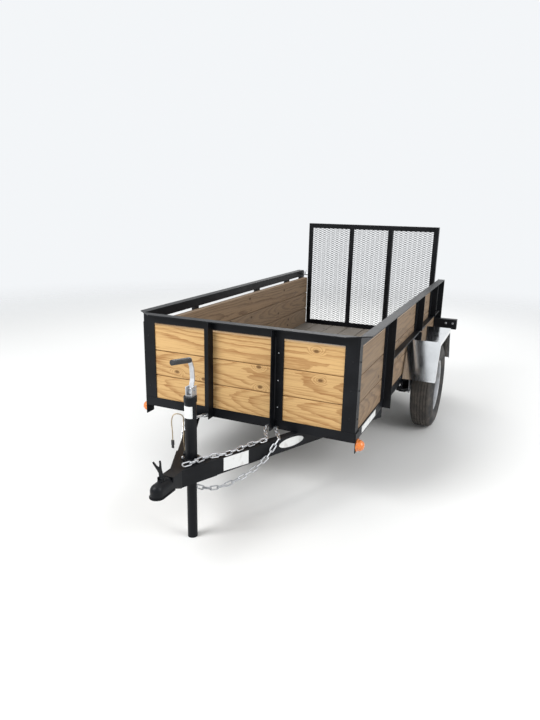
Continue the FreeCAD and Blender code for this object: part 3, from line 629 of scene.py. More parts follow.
@dataclass(frozen=True)
class Vinyl:
    """Plain vinyl of a blank label, scuffed and a little soiled."""

    name: str = "white label"
    base: Colour = (0.78, 0.79, 0.78)
    soiled: Colour = (0.42, 0.39, 0.35)
    gloss: float = 0.38
    relief: float = 0.0001

    def make(self) -> bpy.types.Material:
        """Build the material.

        Returns:
            The vinyl.
        """
        kit = Recipe(self.name, Metallic=0.0, Coat_Weight=0.3, Coat_Roughness=0.2)
        patches = kit.noise(kit.coords, 30.0, 4.0)
        scuffs = kit.noise(kit.scaled((40.0, 40.0, 400.0)), 1.0, 3.0)
        mask = patches.ramp(0.52, 0.72) * 0.35 + scuffs.ramp(0.62, 0.7) * 0.2
        kit.drive("Base Color", kit.mix(mask, self.base, self.soiled))
        kit.drive("Roughness", self.gloss + mask * 0.4)
        kit.bump(scuffs, self.relief, 0.3)
        return kit.material


@dataclass(frozen=True)
class Floor:
    """Pale studio floor that fades into the pale background."""

    name: str = "studio floor"
    base: Colour = (0.80, 0.80, 0.79)
    solid: float = 3.2
    gone: float = 8.5

    def make(self) -> bpy.types.Material:
        """Build the material.

        Returns:
            The floor's finish.
        """
        kit = Recipe(self.name, Roughness=0.85)
        grain = kit.noise(kit.coords, 3.0, 2.0)
        x, y, _ = kit.parts(kit.coords)
        reach = (x * x + y * y).root()
        greyer = tuple(c * 0.96 for c in self.base)
        kit.drive("Base Color", kit.mix(grain * 0.2, self.base, greyer))
        kit.drive("Alpha", reach.ramp(self.solid, self.gone, 1.0, 0.0))
        return kit.material


def spot(x: float, y: float, z: float) -> Vector:
    """Place of a point of the drawing, whose zero is the front wall's face on the ground.

    Args:
        x: millimetres to the trailer's left.
        y: millimetres rearwards.
        z: millimetres up.

    Returns:
        The point in metres.
    """
    return Vector((x / 1000, FRONT_Y + y / 1000, z / 1000))


def stand(name: str, data: object) -> bpy.types.Object:
    """Put a new object into the scene, at the origin.

    Args:
        name: its name.
        data: its mesh, curve, camera or lamp.

    Returns:
        The object.
    """
    made = bpy.data.objects.new(name, data)
    bpy.context.scene.collection.objects.link(made)
    return made


def declare(made: bpy.types.Object, body: str,
            stands_for: tuple[str, ...] = ()) -> None:
    """Hang a piece on the body that it rides on, and hide the nodes that it stands for.

    Args:
        made: the piece.
        body: the body that it rides on.
        stands_for: the nodes that it replaces.
    """
    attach(made, body)
    if stands_for:
        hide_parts(*stands_for)


class Shape:
    """A piece's mesh under construction."""

    def __init__(self) -> None:
        """Start an empty mesh."""
        self.form = bmesh.new()

    def loft(self, rings: list[list[Vector]], closed: bool = False) -> None:
        """Skin closed rings of points, with end caps unless the last joins the first.

        Args:
            rings: rings with as many points each.
            closed: whether the last ring joins the first.
        """
        rows = [[self.form.verts.new(p) for p in ring] for ring in rings]
        count = len(rows[0])
        for low, high in list(zip(rows, rows[1:])) + ([(rows[-1], rows[0])] if closed else []):
            for k in range(count):
                m = (k + 1) % count
                self.form.faces.new((low[k], low[m], high[m], high[k]))
        if not closed:
            self.form.faces.new(rows[0][::-1])
            self.form.faces.new(rows[-1])

    def lathe(self, profile: Profile, origin: Vector, along: Vector, sides: int) -> None:
        """Turn a closed profile about a line.

        Args:
            profile: pairs of place along the line and radius, in millimetres.
            origin: a point of the line.
            along: the line's direction.
            sides: number of steps round.
        """
        across = along.orthogonal().normalized()
        third = along.cross(across)
        rings = []
        for k in range(sides):
            turn = 2 * math.pi * k / sides
            out = across * math.cos(turn) + third * math.sin(turn)
            rings.append([origin + along * (a / 1000) + out * (r / 1000) for a, r in profile])
        self.loft(rings, True)

    def hoop(self, line: list[Vector], radius: float, sides: int, flat: Vector) -> None:
        """Bend a round bar along a closed line that lies in one plane.

        Args:
            line: its points.
            radius: the bar's radius in millimetres.
            sides: number of steps round.
            flat: the plane's normal.
        """
        rings = []
        for i, point in enumerate(line):
            out = (line[(i + 1) % len(line)] - line[i - 1]).normalized().cross(flat)
            turns = [2 * math.pi * k / sides for k in range(sides)]
            rings.append([point + (out * math.cos(turn) + flat * math.sin(turn)) * (radius / 1000)
                          for turn in turns])
        self.loft(rings, True)

    def block(self, low: Vector, high: Vector, ease: float) -> None:
        """Box with rounded edges.

        Args:
            low: one corner.
            high: the opposite corner.
            ease: radius of its edges in millimetres.
        """
        size = Matrix.Diagonal((*(high - low), 1.0))
        made = bmesh.ops.create_cube(self.form, size=1.0,
                                     matrix=Matrix.Translation((low + high) / 2) @ size)
        edges = dict.fromkeys(edge for vert in made["verts"] for edge in vert.link_edges)
        bmesh.ops.bevel(self.form, geom=list(edges), offset=ease / 1000, segments=2,
                        affect="EDGES", profile=0.5)

    def sheet(self, corners: list[Vector], lift: Vector) -> None:
        """Flat plate from its outline.

        Args:
            corners: the outline in order.
            lift: the plate's thickness as a vector.
        """
        self.loft([corners, [corner + lift for corner in corners]])

    def object(self, name: str, finish: bpy.types.Material | None = None) -> bpy.types.Object:
        """Close the mesh and make it an object.

        Args:
            name: the object's name.
            finish: its material.

        Returns:
            The object, at the origin.
        """
        bmesh.ops.remove_doubles(self.form, verts=self.form.verts, dist=1e-6)
        bmesh.ops.dissolve_degenerate(self.form, edges=self.form.edges, dist=1e-7)
        bmesh.ops.recalc_face_normals(self.form, faces=self.form.faces)
        mesh = bpy.data.meshes.new(name)
        self.form.to_mesh(mesh)
        self.form.free()
        mesh.shade_smooth()
        mesh.set_sharp_from_angle(angle=SHARP_ANGLE)
        if finish is not None:
            mesh.materials.append(finish)
        return stand(name, mesh)

    def piece(self, name: str, finish: bpy.types.Material, body: str, slot: str = "",
              stands_for: tuple[str, ...] = ()) -> None:
        """Make the object, hang it on its body and hide the nodes that it stands for.

        Args:
            name: the piece's name.
            finish: its material.
            body: the body that it rides on.
            slot: not used.
            stands_for: the nodes that it replaces.
        """
        declare(self.object(name, finish), body, stands_for)


class Growth(Tree):
    """A Geometry Nodes tree with named inputs, run once on a carrier object."""

    def __init__(self, name: str, wants: dict[str, str]) -> None:
        """Start the tree.

        Args:
            name: the tree's name.
            wants: its inputs, as name and kind of socket.
        """
        super().__init__(bpy.data.node_groups.new(name, "GeometryNodeTree"))
        self.keys = {key: self.socket(key, kind) for key, kind in
                     {"Geometry": "Geometry", **wants}.items()}
        self.socket("Geometry", "Geometry", "OUTPUT")
        self.given = self.node("NodeGroupInput", {}, {}).outputs

    def socket(self, name: str, kind: str, side: str = "INPUT") -> str:
        """Add a socket to the tree's interface.

        Args:
            name: its name.
            kind: its kind.
            side: INPUT or OUTPUT.

        Returns:
            Its identifier.
        """
        return self.tree.interface.new_socket(
            name=name, in_out=side, socket_type="NodeSocket" + kind).identifier

    def end(self, copies: bpy.types.NodeSocket) -> None:
        """Close the tree: real geometry with its material.

        Args:
            copies: the geometry to finish.
        """
        real = self.node("GeometryNodeRealizeInstances", {}, {0: copies})
        dressed = self.node("GeometryNodeSetMaterial", {}, {
            "Geometry": real.outputs[0], "Material": self.given["Finish"]})
        self.node("NodeGroupOutput", {}, {0: dressed.outputs[0]})

    def run(self, name: str, seed: bpy.types.Mesh, **values: object) -> bpy.types.Object:
        """Run the tree on a mesh and keep the result as a plain mesh.

        Args:
            name: the new object's name.
            seed: the mesh that the tree reads.
            values: the tree's inputs, with _ for each space.

        Returns:
            The plain object.
        """
        carrier = stand(name + " seed", seed)
        step = carrier.modifiers.new("growth", "NODES")
        step.node_group = self.tree
        for key, value in values.items():
            step[self.keys[key.replace("_", " ")]] = value
        graph = bpy.context.evaluated_depsgraph_get()
        mesh = bpy.data.meshes.new_from_object(carrier.evaluated_get(graph), depsgraph=graph)
        carrier.modifiers.remove(step)
        bpy.data.objects.remove(carrier)
        mesh.name = name
        return stand(name, mesh)


class Rows(Growth):
    """Copies of one small piece on given points, such as screws, nuts, links and weld beads."""

    def __init__(self) -> None:
        """Build the tree."""
        super().__init__("rows of pieces", {
            "Piece": "Object", "Size": "Float", "Finish": "Material"})
        turn = self.node("GeometryNodeInputNamedAttribute", {"data_type": "FLOAT_VECTOR"},
                         {"Name": "turn"})
        grow = self.value("GeometryNodeInputNamedAttribute", {"data_type": "FLOAT"},
                          {"Name": "grow"})
        turned = self.node("FunctionNodeEulerToRotation", {}, {0: turn.outputs[0]})
        piece = self.node("GeometryNodeObjectInfo", {}, {"Object": self.given["Piece"]})
        copies = self.node("GeometryNodeInstanceOnPoints", {}, {
            "Points": self.given["Geometry"], "Instance": piece.outputs["Geometry"],
            "Rotation": turned.outputs[0], "Scale": grow * Value(self, self.given["Size"])})
        self.end(copies.outputs[0])

    def lay(self, name: str, unit: bpy.types.Object, finish: bpy.types.Material,
            places: list[Place], size: float = 1.0) -> bpy.types.Object:
        """Set the copies.

        Args:
            name: the new object's name.
            unit: the piece to repeat.
            finish: its material.
            places: for each copy its point, its turn and its own size.
            size: size of them all.

        Returns:
            All the copies as one plain object.
        """
        mesh = bpy.data.meshes.new(name + " points")
        mesh.from_pydata([tuple(point) for point, _, _ in places], [], [])
        turns = mesh.attributes.new("turn", "FLOAT_VECTOR", "POINT")
        turns.data.foreach_set("vector", [a for _, turn, _ in places for a in turn.to_euler()])
        grows = mesh.attributes.new("grow", "FLOAT", "POINT")
        grows.data.foreach_set("value", [grow for _, _, grow in places])
        return self.run(name, mesh, Piece=unit, Size=size, Finish=finish)


class Lattice(Growth):
    """Expanded metal: a field of strand diamonds that meet at their corners."""

    def __init__(self) -> None:
        """Build the tree."""
        super().__init__("expanded metal", {
            "Columns": "Int", "Rows": "Int", "Pitch Across": "Float", "Pitch Up": "Float",
            "Strand": "Float", "Centre": "Vector", "Finish": "Material"})
        across, up, columns, rows, strand = (Value(self, self.given[key]) for key in (
            "Pitch Across", "Pitch Up", "Columns", "Rows", "Strand"))
        points = self.node("GeometryNodeMeshGrid", {}, {
            "Size X": (columns - 1.0) * across, "Size Y": (rows - 1.0) * up,
            "Vertices X": columns, "Vertices Y": rows})
        diamond = self.node("GeometryNodeCurvePrimitiveQuadrilateral", {"mode": "KITE"}, {
            "Width": across, "Bottom Height": up * 0.5, "Top Height": up * 0.5})
        section = self.node("GeometryNodeCurvePrimitiveCircle", {}, {
            "Resolution": 4, "Radius": strand * 0.5})
        cell = self.node("GeometryNodeCurveToMesh", {}, {
            "Curve": diamond.outputs[0], "Profile Curve": section.outputs[0]})
        copies = self.node("GeometryNodeInstanceOnPoints", {}, {
            "Points": points.outputs[0], "Instance": cell.outputs[0]})
        stood = self.node("GeometryNodeTransform", {}, {
            "Geometry": copies.outputs[0], "Translation": self.given["Centre"],
            "Rotation": (math.pi / 2, 0, 0)})
        self.end(stood.outputs[0])


def facing_turn(outwards: Vector, spin: float) -> Matrix:
    """Turn that stands a piece's own Z along a direction.

    Args:
        outwards: the direction.
        spin: turn about it in radians.

    Returns:
        The turn.
    """
    return outwards.to_track_quat("Z", "Y").to_matrix() @ Matrix.Rotation(spin, 3, "Z")


@dataclass
class Harness:
    """Lighting lead: out of a collar on the coupler, up beside the jack, over, to its plug."""

    route: tuple[Point, ...] = (
        (-48, -486, 402), (-48, -486, 432), (-31, -520, 470), (-28, -521, 525),
        (-31, -519, 565), (-29, -520, 605), (-69, -538, 612), (-81, -541, 572),
        (-77, -538, 525), (-77, -538, 482))
    diameter: float = 0.005
    length: float = 0.378
    plug_wide: float = 14.0
    plug_deep: float = 7.0
    plug_body: float = 24.8
    sleeve_top: float = 24.0
    sleeve: Profile = ((0, 0), (0, 1.6), (15.6, 1.5), (16, 1.1), (16, 0))
    prongs: int = 4
    ribs: int = 4
    rib_first: float = 5.0
    rib_pitch: float = 4.0
    rib_inset: float = 2.0
    rib_high: float = 2.0
    collar: Profile = ((-1, 2.8), (-1, 7.5), (2, 7), (8, 4.5), (14, 3.4), (14, 2.8))

    def lead(self, finish: bpy.types.Material) -> bpy.types.Object:
        """Lay the lead as one smooth curve.

        Args:
            finish: its cover.

        Returns:
            The curve's object.
        """
        curve = bpy.data.curves.new("lighting_lead", "CURVE")
        curve.dimensions = "3D"
        curve.bevel_depth = self.diameter / 2
        curve.bevel_resolution = 4
        curve.use_fill_caps = True
        spline = curve.splines.new("NURBS")
        spline.points.add(len(self.route) - 1)
        for point, place in zip(spline.points, self.route):
            point.co = (*spot(*place), 1.0)
        spline.order_u = 3
        spline.use_endpoint_u = True
        spline.resolution_u = 12
        curve.materials.append(finish)
        return stand("lighting_lead", curve)

    def plug(self, finish: bpy.types.Material) -> bpy.types.Object:
        """Mould the flat plug: a ribbed body and its sleeves.

        Args:
            finish: its plastic.

        Returns:
            The plug.
        """
        x, y, z = self.route[-1]
        half, deep = self.plug_wide / 2, self.plug_deep / 2
        shape = Shape()
        shape.block(spot(x - half, y - deep, z - self.plug_body), spot(x + half, y + deep, z), 1.2)
        for k in range(self.prongs):
            aside = (k - (self.prongs - 1) / 2) * self.plug_wide / self.prongs
            shape.lathe(self.sleeve, spot(x + aside, y, z - self.sleeve_top), -UP, 12)
        for k in range(self.ribs):
            top = z - self.rib_first - k * self.rib_pitch
            shape.block(spot(x - half + self.rib_inset, y - deep, top - self.rib_high),
                        spot(x + half - self.rib_inset, y + deep, top), 0.4)
        return shape.object("lead_plug", finish)

    def build(self, finishes: Slots) -> None:
        """Make the lead, its plug and the grommet that it leaves.

        Args:
            finishes: the materials by slot.
        """
        lead = self.lead(finishes["cord_cover"])
        plug = self.plug(finishes["plug_plastic"])
        declare(lead, "chassis", ("harness",))
        declare(plug, "chassis", ("harness_plug",))
        tuple(spot(*self.route[0]))
        shape = Shape()
        shape.lathe(self.collar, spot(*self.route[0]), UP, 24)
        shape.piece("lead_grommet", finishes["plug_plastic"], "chassis", "plug_plastic")


@dataclass
class Latch:
    """Raised latch lever on the coupler's neck: a plate with a forked tip, in a foot."""

    y: float = -742.0
    ridge: float = 392.0
    thick: float = 5.0
    outline: Profile = (
        (-9, 2), (9, 2), (9, 20), (7, 36), (3, 50), (1.5, 62), (1, 78), (-1, 90), (-5, 91),
        (-8, 88), (-6, 76), (-8, 64), (-13, 60), (-24, 66), (-33, 76), (-38, 79), (-41, 76),
        (-39, 70), (-29, 58), (-19, 46), (-11, 34))
    foot: tuple[Point, Point] = ((-13, -13, -12), (13, 25, 5))
    ear: tuple[Point, Point] = ((-2, -11, -2), (2, 11, 17))
    ear_x: float = 11.0
    pin_rise: float = 10.0
    pin: Profile = ((-17, 0), (-17, 5), (-14, 5), (-14, 3.6), (14, 3.6), (14, 5), (17, 5), (17, 0))

    def build(self, black: bpy.types.Material) -> None:
        """Make the latch.

        Args:
            black: its paint.
        """
        shape = Shape()
        face = self.y - self.thick / 2
        shape.sheet([spot(x, face, self.ridge + z) for x, z in self.outline],
                    Vector((0, self.thick / 1000, 0)))
        for middle, corners, ease in ((0, self.foot, 2), (-self.ear_x, self.ear, 1.5),
                                      (self.ear_x, self.ear, 1.5)):
            low, high = (spot(middle + x, self.y + y, self.ridge + z) for x, y, z in corners)
            shape.block(low, high, ease)
        shape.lathe(self.pin, spot(0, self.y, self.ridge + self.pin_rise), LEFTWARD, 16)
        shape.piece("latch_lever", black, "chassis", "black_paint", ("coupler_latch",))


@dataclass
class Chains:
    """Safety chains of welded links: one slung under the tongue, one laid on its left leg."""

    wire: float = 3.4
    width: float = 24.0
    pitch: float = 36.0
    roll: float = math.pi / 4
    slung: tuple[Point, ...] = (
        (200, -12, 402), (226, -62, 405), (258, -112, 406), (272, -137, 401), (257, -169, 366),
        (243, -200, 328), (222, -244, 301), (204, -282, 284), (187, -318, 273), (170, -353, 264),
        (125, -392, 240), (72, -425, 222), (0, -440, 216))
    laid: tuple[Point, ...] = (
        (154, -12, 402), (160, -60, 400), (196, -118, 401), (226, -158, 401), (213, -190, 401),
        (190, -225, 401), (167, -278, 401), (143, -354, 401), (118, -416, 401), (84, -456, 405),
        (58, -500, 405), (44, -550, 405), (16, -600, 405))
    lug_wide: float = 22.0
    lug_thick: float = 8.0

    def link(self, step: float) -> bpy.types.Object:
        """Bend one link, in its own X and Y.

        Args:
            step: the chain's pitch in millimetres.

        Returns:
            The link, to be repeated.
        """
        bend = self.width / 2 - self.wire
        reach = step / 2 + self.wire - bend
        line = []
        for end in (1, -1):
            for k in range(8):
                turn = math.pi * (k / 7 - 0.5)
                line.append(Vector((reach + bend * math.cos(turn), bend * math.sin(turn), 0))
                            * end / 1000)
        shape = Shape()
        shape.hoop(line, self.wire, 8, UP)
        return shape.object("link")

    def places(self, route: tuple[Point, ...]) -> tuple[float, list[Place]]:
        """Space links evenly along a route, each a quarter turn from the last.

        Args:
            route: corners in millimetres.

        Returns:
            The pitch, and each link's point, turn and size.
        """
        ends = [Vector(p) for p in route]
        total = sum((b - a).length for a, b in zip(ends, ends[1:]))
        pitch = total / round(total / self.pitch)
        marks, gone = [ends[0]], pitch
        for a, b in zip(ends, ends[1:]):
            length = (b - a).length
            while gone <= length + 0.01:
                marks.append(a + (b - a) * (gone / length))
                gone += pitch
            gone -= length
        found = []
        for i, (a, b) in enumerate(zip(marks, marks[1:])):
            along = (b - a).normalized()
            flat = along.cross(UP).normalized()
            turn = self.roll + math.pi / 2 * (i % 2)
            across = flat * math.cos(turn) + along.cross(flat) * math.sin(turn)
            lie = Matrix((along, across, along.cross(across))).transposed()
            found.append((spot(*((a + b) / 2)), lie, 1.0))
        return pitch, found

    def build(self, rows: Rows, zinc: bpy.types.Material) -> None:
        """Hang the one chain and lay the other.

        Args:
            rows: the tree that repeats a piece.
            zinc: the chains' finish.
        """
        back = tuple((-x, y, z) for x, y, z in reversed(self.slung[:-1]))
        for name, route, starts in (
                ("chain_slung", self.slung + back, (self.slung[0], back[-1])),
                ("chain_laid", self.laid, (self.laid[0],))):
            step, places = self.places(route)
            unit = self.link(step)
            links = rows.lay(name + "_links", unit, zinc, places)
            bpy.data.objects.remove(unit)
            declare(links, "chassis", (name,))
            shape = Shape()
            half, rise = self.lug_wide / 2, self.lug_thick / 2
            for x, y, z in starts:
                shape.block(spot(x - half, y - self.lug_thick, z - rise),
                            spot(x + half, 0, z + rise), 1)
            shape.piece(name + "_lug", zinc, "chassis", "zinc", (name,))


@dataclass
class RoadWheel:
    """One wheel: lathed tyre with a grooved tread, pressed rim, nuts and valve."""

    side: int
    label: str
    axle_y: float = 1465.0
    axle_z: float = 302.0
    out_x: float = 740.0
    sipes: int = 44
    shoulder: tuple[float, float] = (40.0, 66.0)
    shoulder_r: float = 274.0
    lug_cut: float = 5.0
    lug_ease: float = 8.0
    rib: tuple[float, float] = (15.5, 34.0)
    rib_r: float = 299.0
    rib_cut: float = 3.0
    grooves_reach: float = 41.0
    grooves_r: float = 280.0
    groove_wave: float = 1.3
    tread: Profile = (
        (2.4, 295), (3.4, 302), (15, 301.9), (16, 295), (21, 295), (22, 301.4), (33.5, 300.2),
        (34.5, 294), (39.5, 293.4), (40.5, 299.6), (50, 298), (57, 293.5), (61.5, 287),
        (65, 279), (66, 275), (70.5, 268), (75, 256), (77.3, 244), (77, 232), (75.6, 226),
        (76.2, 223.5), (74.6, 221), (71, 208), (66, 198), (63.5, 195.5), (63, 192), (58, 185),
        (54, 181.5), (54, 166), (44, 166), (60, 214), (64, 238), (52, 274))
    middle_groove: tuple[float, float] = (-2.2, 295)
    inside: tuple[float, float] = (0, 284)
    barrel: Profile = (
        (-59, 179), (-57, 180), (-55, 179), (-54, 172), (-54, 165), (-22, 165), (-16, 145),
        (-14, 143), (14, 143), (16, 145), (22, 165), (54, 165), (54, 172), (55, 179), (57, 180),
        (59, 179), (58.5, 170), (57, 162), (54, 161), (24, 161), (18, 141), (16, 139),
        (-16, 139), (-18, 141), (-24, 161), (-54, 161), (-57, 162), (-58.5, 170))
    valve: Profile = ((14, 0), (14, 4.2), (34, 4.2), (35, 3.4), (38, 3.4), (38, 0))
    valve_r: float = 131.0
    dish_radii: tuple[float, ...] = (
        34, 40, 56, 72, 77, 82, 88, 93, 98, 102, 107, 112, 117, 122, 126, 133, 141)
    dish_wall: float = 4.0
    dish_floor: float = 4.0
    dish_lift: float = 17.5
    dish_slope: tuple[float, float] = (76.0, 94.0)
    dish_fall: float = 3.5
    nut_land: tuple[float, float] = (44.0, 60.0)
    land_rise: float = 3.0
    windows: int = 8
    window_steps: int = 16
    window_half_steps: int = 6
    window_r: float = 112.0
    window_half_r: float = 14.0
    nuts: int = 5
    nut_seat: float = 6.9
    nut_r: float = 51.5
    nut_size: float = 1.6

    def centre(self) -> Vector:
        """Middle of the wheel."""
        return spot(self.side * self.out_x, self.axle_y, self.axle_z)

    def tyre(self, finish: bpy.types.Material) -> None:
        """Mould the tyre.

        Args:
            finish: the rubber.
        """
        mirrored = tuple((-a, r) for a, r in self.tread[::-1])
        outline = mirrored + (self.middle_groove,) + self.tread + (self.inside,)
        (start, end), (inner, outer) = self.shoulder, self.rib
        steps = self.sipes * 4
        rings = []
        for k in range(steps):
            turn = 2 * math.pi * k / steps
            out = Vector((0, math.cos(turn), math.sin(turn)))
            ring = []
            for a, r in outline:
                far = abs(a)
                if start < far < end and r > self.shoulder_r and k % 4 == 0:
                    r -= self.lug_cut * min(1.0, (far - start) / self.lug_ease)
                if inner < far < outer and r > self.rib_r and k % 4 == (1 if a > 0 else 3):
                    r -= self.rib_cut
                waved = far < self.grooves_reach and r > self.grooves_r
                wave = self.groove_wave * math.sin(turn * self.sipes) if waved else 0.0
                ring.append(self.centre() + Vector(((a + wave) / 1000, 0, 0)) + out * (r / 1000))
            rings.append(ring)
        shape = Shape()
        shape.loft(rings, True)
        shape.piece("tyre_rubber_" + self.label, finish, "wheel_" + self.label, "tyre",
                    ("tyre_" + self.label,))

    def rim(self, finish: bpy.types.Material) -> None:
        """Press the rim: rolled barrel, dish with rounded windows, and valve.

        Args:
            finish: the wheel's paint.
        """
        axis = Vector((self.side, 0, 0))
        shape = Shape()
        shape.lathe(self.barrel, self.centre(), axis, 96)
        self.dish(shape, axis)
        shape.lathe(self.valve, self.centre() + Vector((0, self.valve_r / 1000, 0)), axis, 16)
        shape.piece("rim_steel_" + self.label, finish, "wheel_" + self.label, "wheel_paint",
                    ("rim_" + self.label,))

    def crown(self, r: float) -> float:
        """Height of the dish's outer face over the wheel's middle.

        Args:
            r: radius in millimetres.

        Returns:
            The height in millimetres.
        """
        (foot, top), (low, high) = self.dish_slope, self.nut_land
        t = min(1.0, max(0.0, (r - foot) / (top - foot)))
        fall = self.dish_fall * max(0.0, (r - top) / (self.dish_radii[-1] - top))
        lift = self.dish_floor + self.dish_lift * t * t * (3 - 2 * t) - fall
        return lift + (self.land_rise if low < r < high else 0.0)

    def rounded(self, r: float, k: int) -> tuple[float, float]:
        """Pull a point on a window's edge to the window's rounded outline.

        Args:
            r: the point's radius in millimetres.
            k: its step round the dish.

        Returns:
            Its radius, and its angle in radians.
        """
        step = 2 * math.pi / (self.window_steps * self.windows)
        u = (k % self.window_steps - self.window_steps / 2) / self.window_half_steps
        v = (r - self.window_r) / self.window_half_r
        if not 0.999 < max(abs(u), abs(v)) <= 1.001:
            return r, k * step
        pull = 1.0 / (u ** 4 + v ** 4) ** 0.25
        return (self.window_r + self.window_half_r * v * pull,
                k * step + u * (pull - 1.0) * self.window_half_steps * step)

    def dish(self, shape: Shape, axis: Vector) -> None:
        """Add the dish with its windows.

        Args:
            shape: the rim's mesh.
            axis: outward direction of the wheel.
        """
        radii, total = self.dish_radii, self.window_steps * self.windows
        first = radii.index(self.window_r - self.window_half_r)
        last = radii.index(self.window_r + self.window_half_r)
        edge = self.window_steps // 2 - self.window_half_steps
        across = axis.orthogonal().normalized()
        third = axis.cross(across)
        grid = {}
        for layer in (0, 1):
            for i, r in enumerate(radii):
                for k in range(total):
                    radius, turn = self.rounded(r, k)
                    out = across * math.cos(turn) + third * math.sin(turn)
                    rise = self.crown(radius) - self.dish_wall * layer
                    grid[layer, i, k] = shape.form.verts.new(
                        self.centre() + axis * (rise / 1000) + out * (radius / 1000))

        def is_open(i: int, k: int) -> bool:
            """Whether the cell of ring i and step k lies in a window."""
            return first <= i < last and edge <= k % self.window_steps < self.window_steps - edge

        def face(*corners: tuple[int, int, int]) -> None:
            """Add the face between four points of the grid."""
            shape.form.faces.new([grid[corner] for corner in corners])

        for i in range(len(radii) - 1):
            for k in range(total):
                if is_open(i, k):
                    continue
                m = (k + 1) % total
                face((0, i, k), (0, i + 1, k), (0, i + 1, m), (0, i, m))
                face((1, i, k), (1, i, m), (1, i + 1, m), (1, i + 1, k))
                for j, beyond in ((i, i - 1), (i + 1, i + 1)):
                    if is_open(beyond, k) or beyond in (-1, len(radii) - 1):
                        face((0, j, k), (0, j, m), (1, j, m), (1, j, k))
                for a, beyond in ((k, k - 1), (m, k + 1)):
                    if is_open(i, beyond):
                        face((0, i, a), (0, i + 1, a), (1, i + 1, a), (1, i, a))
        loose = [vert for vert in shape.form.verts if not vert.link_faces]
        bmesh.ops.delete(shape.form, geom=loose, context="VERTS")

    def build(self, rows: Rows, nut: bpy.types.Object, finishes: Slots) -> None:
        """Make the wheel and set its nuts.

        Args:
            rows: the tree that repeats a piece.
            nut: a nut to repeat.
            finishes: the materials by slot.
        """
        self.tyre(finishes["tyre"])
        self.rim(finishes["wheel_paint"])
        axis = Vector((self.side, 0, 0))
        places = []
        for k in range(self.nuts):
            turn = 2 * math.pi * k / self.nuts + math.pi / 2
            out = Vector((0, math.cos(turn), math.sin(turn))) * (self.nut_r / 1000)
            at = self.centre() + axis * (self.nut_seat / 1000) + out
            places.append((at, facing_turn(axis, 0.4 * k), 1.0))
        made = rows.lay("wheel_nuts_" + self.label, nut, finishes["zinc"], places, self.nut_size)
        declare(made, "wheel_" + self.label)


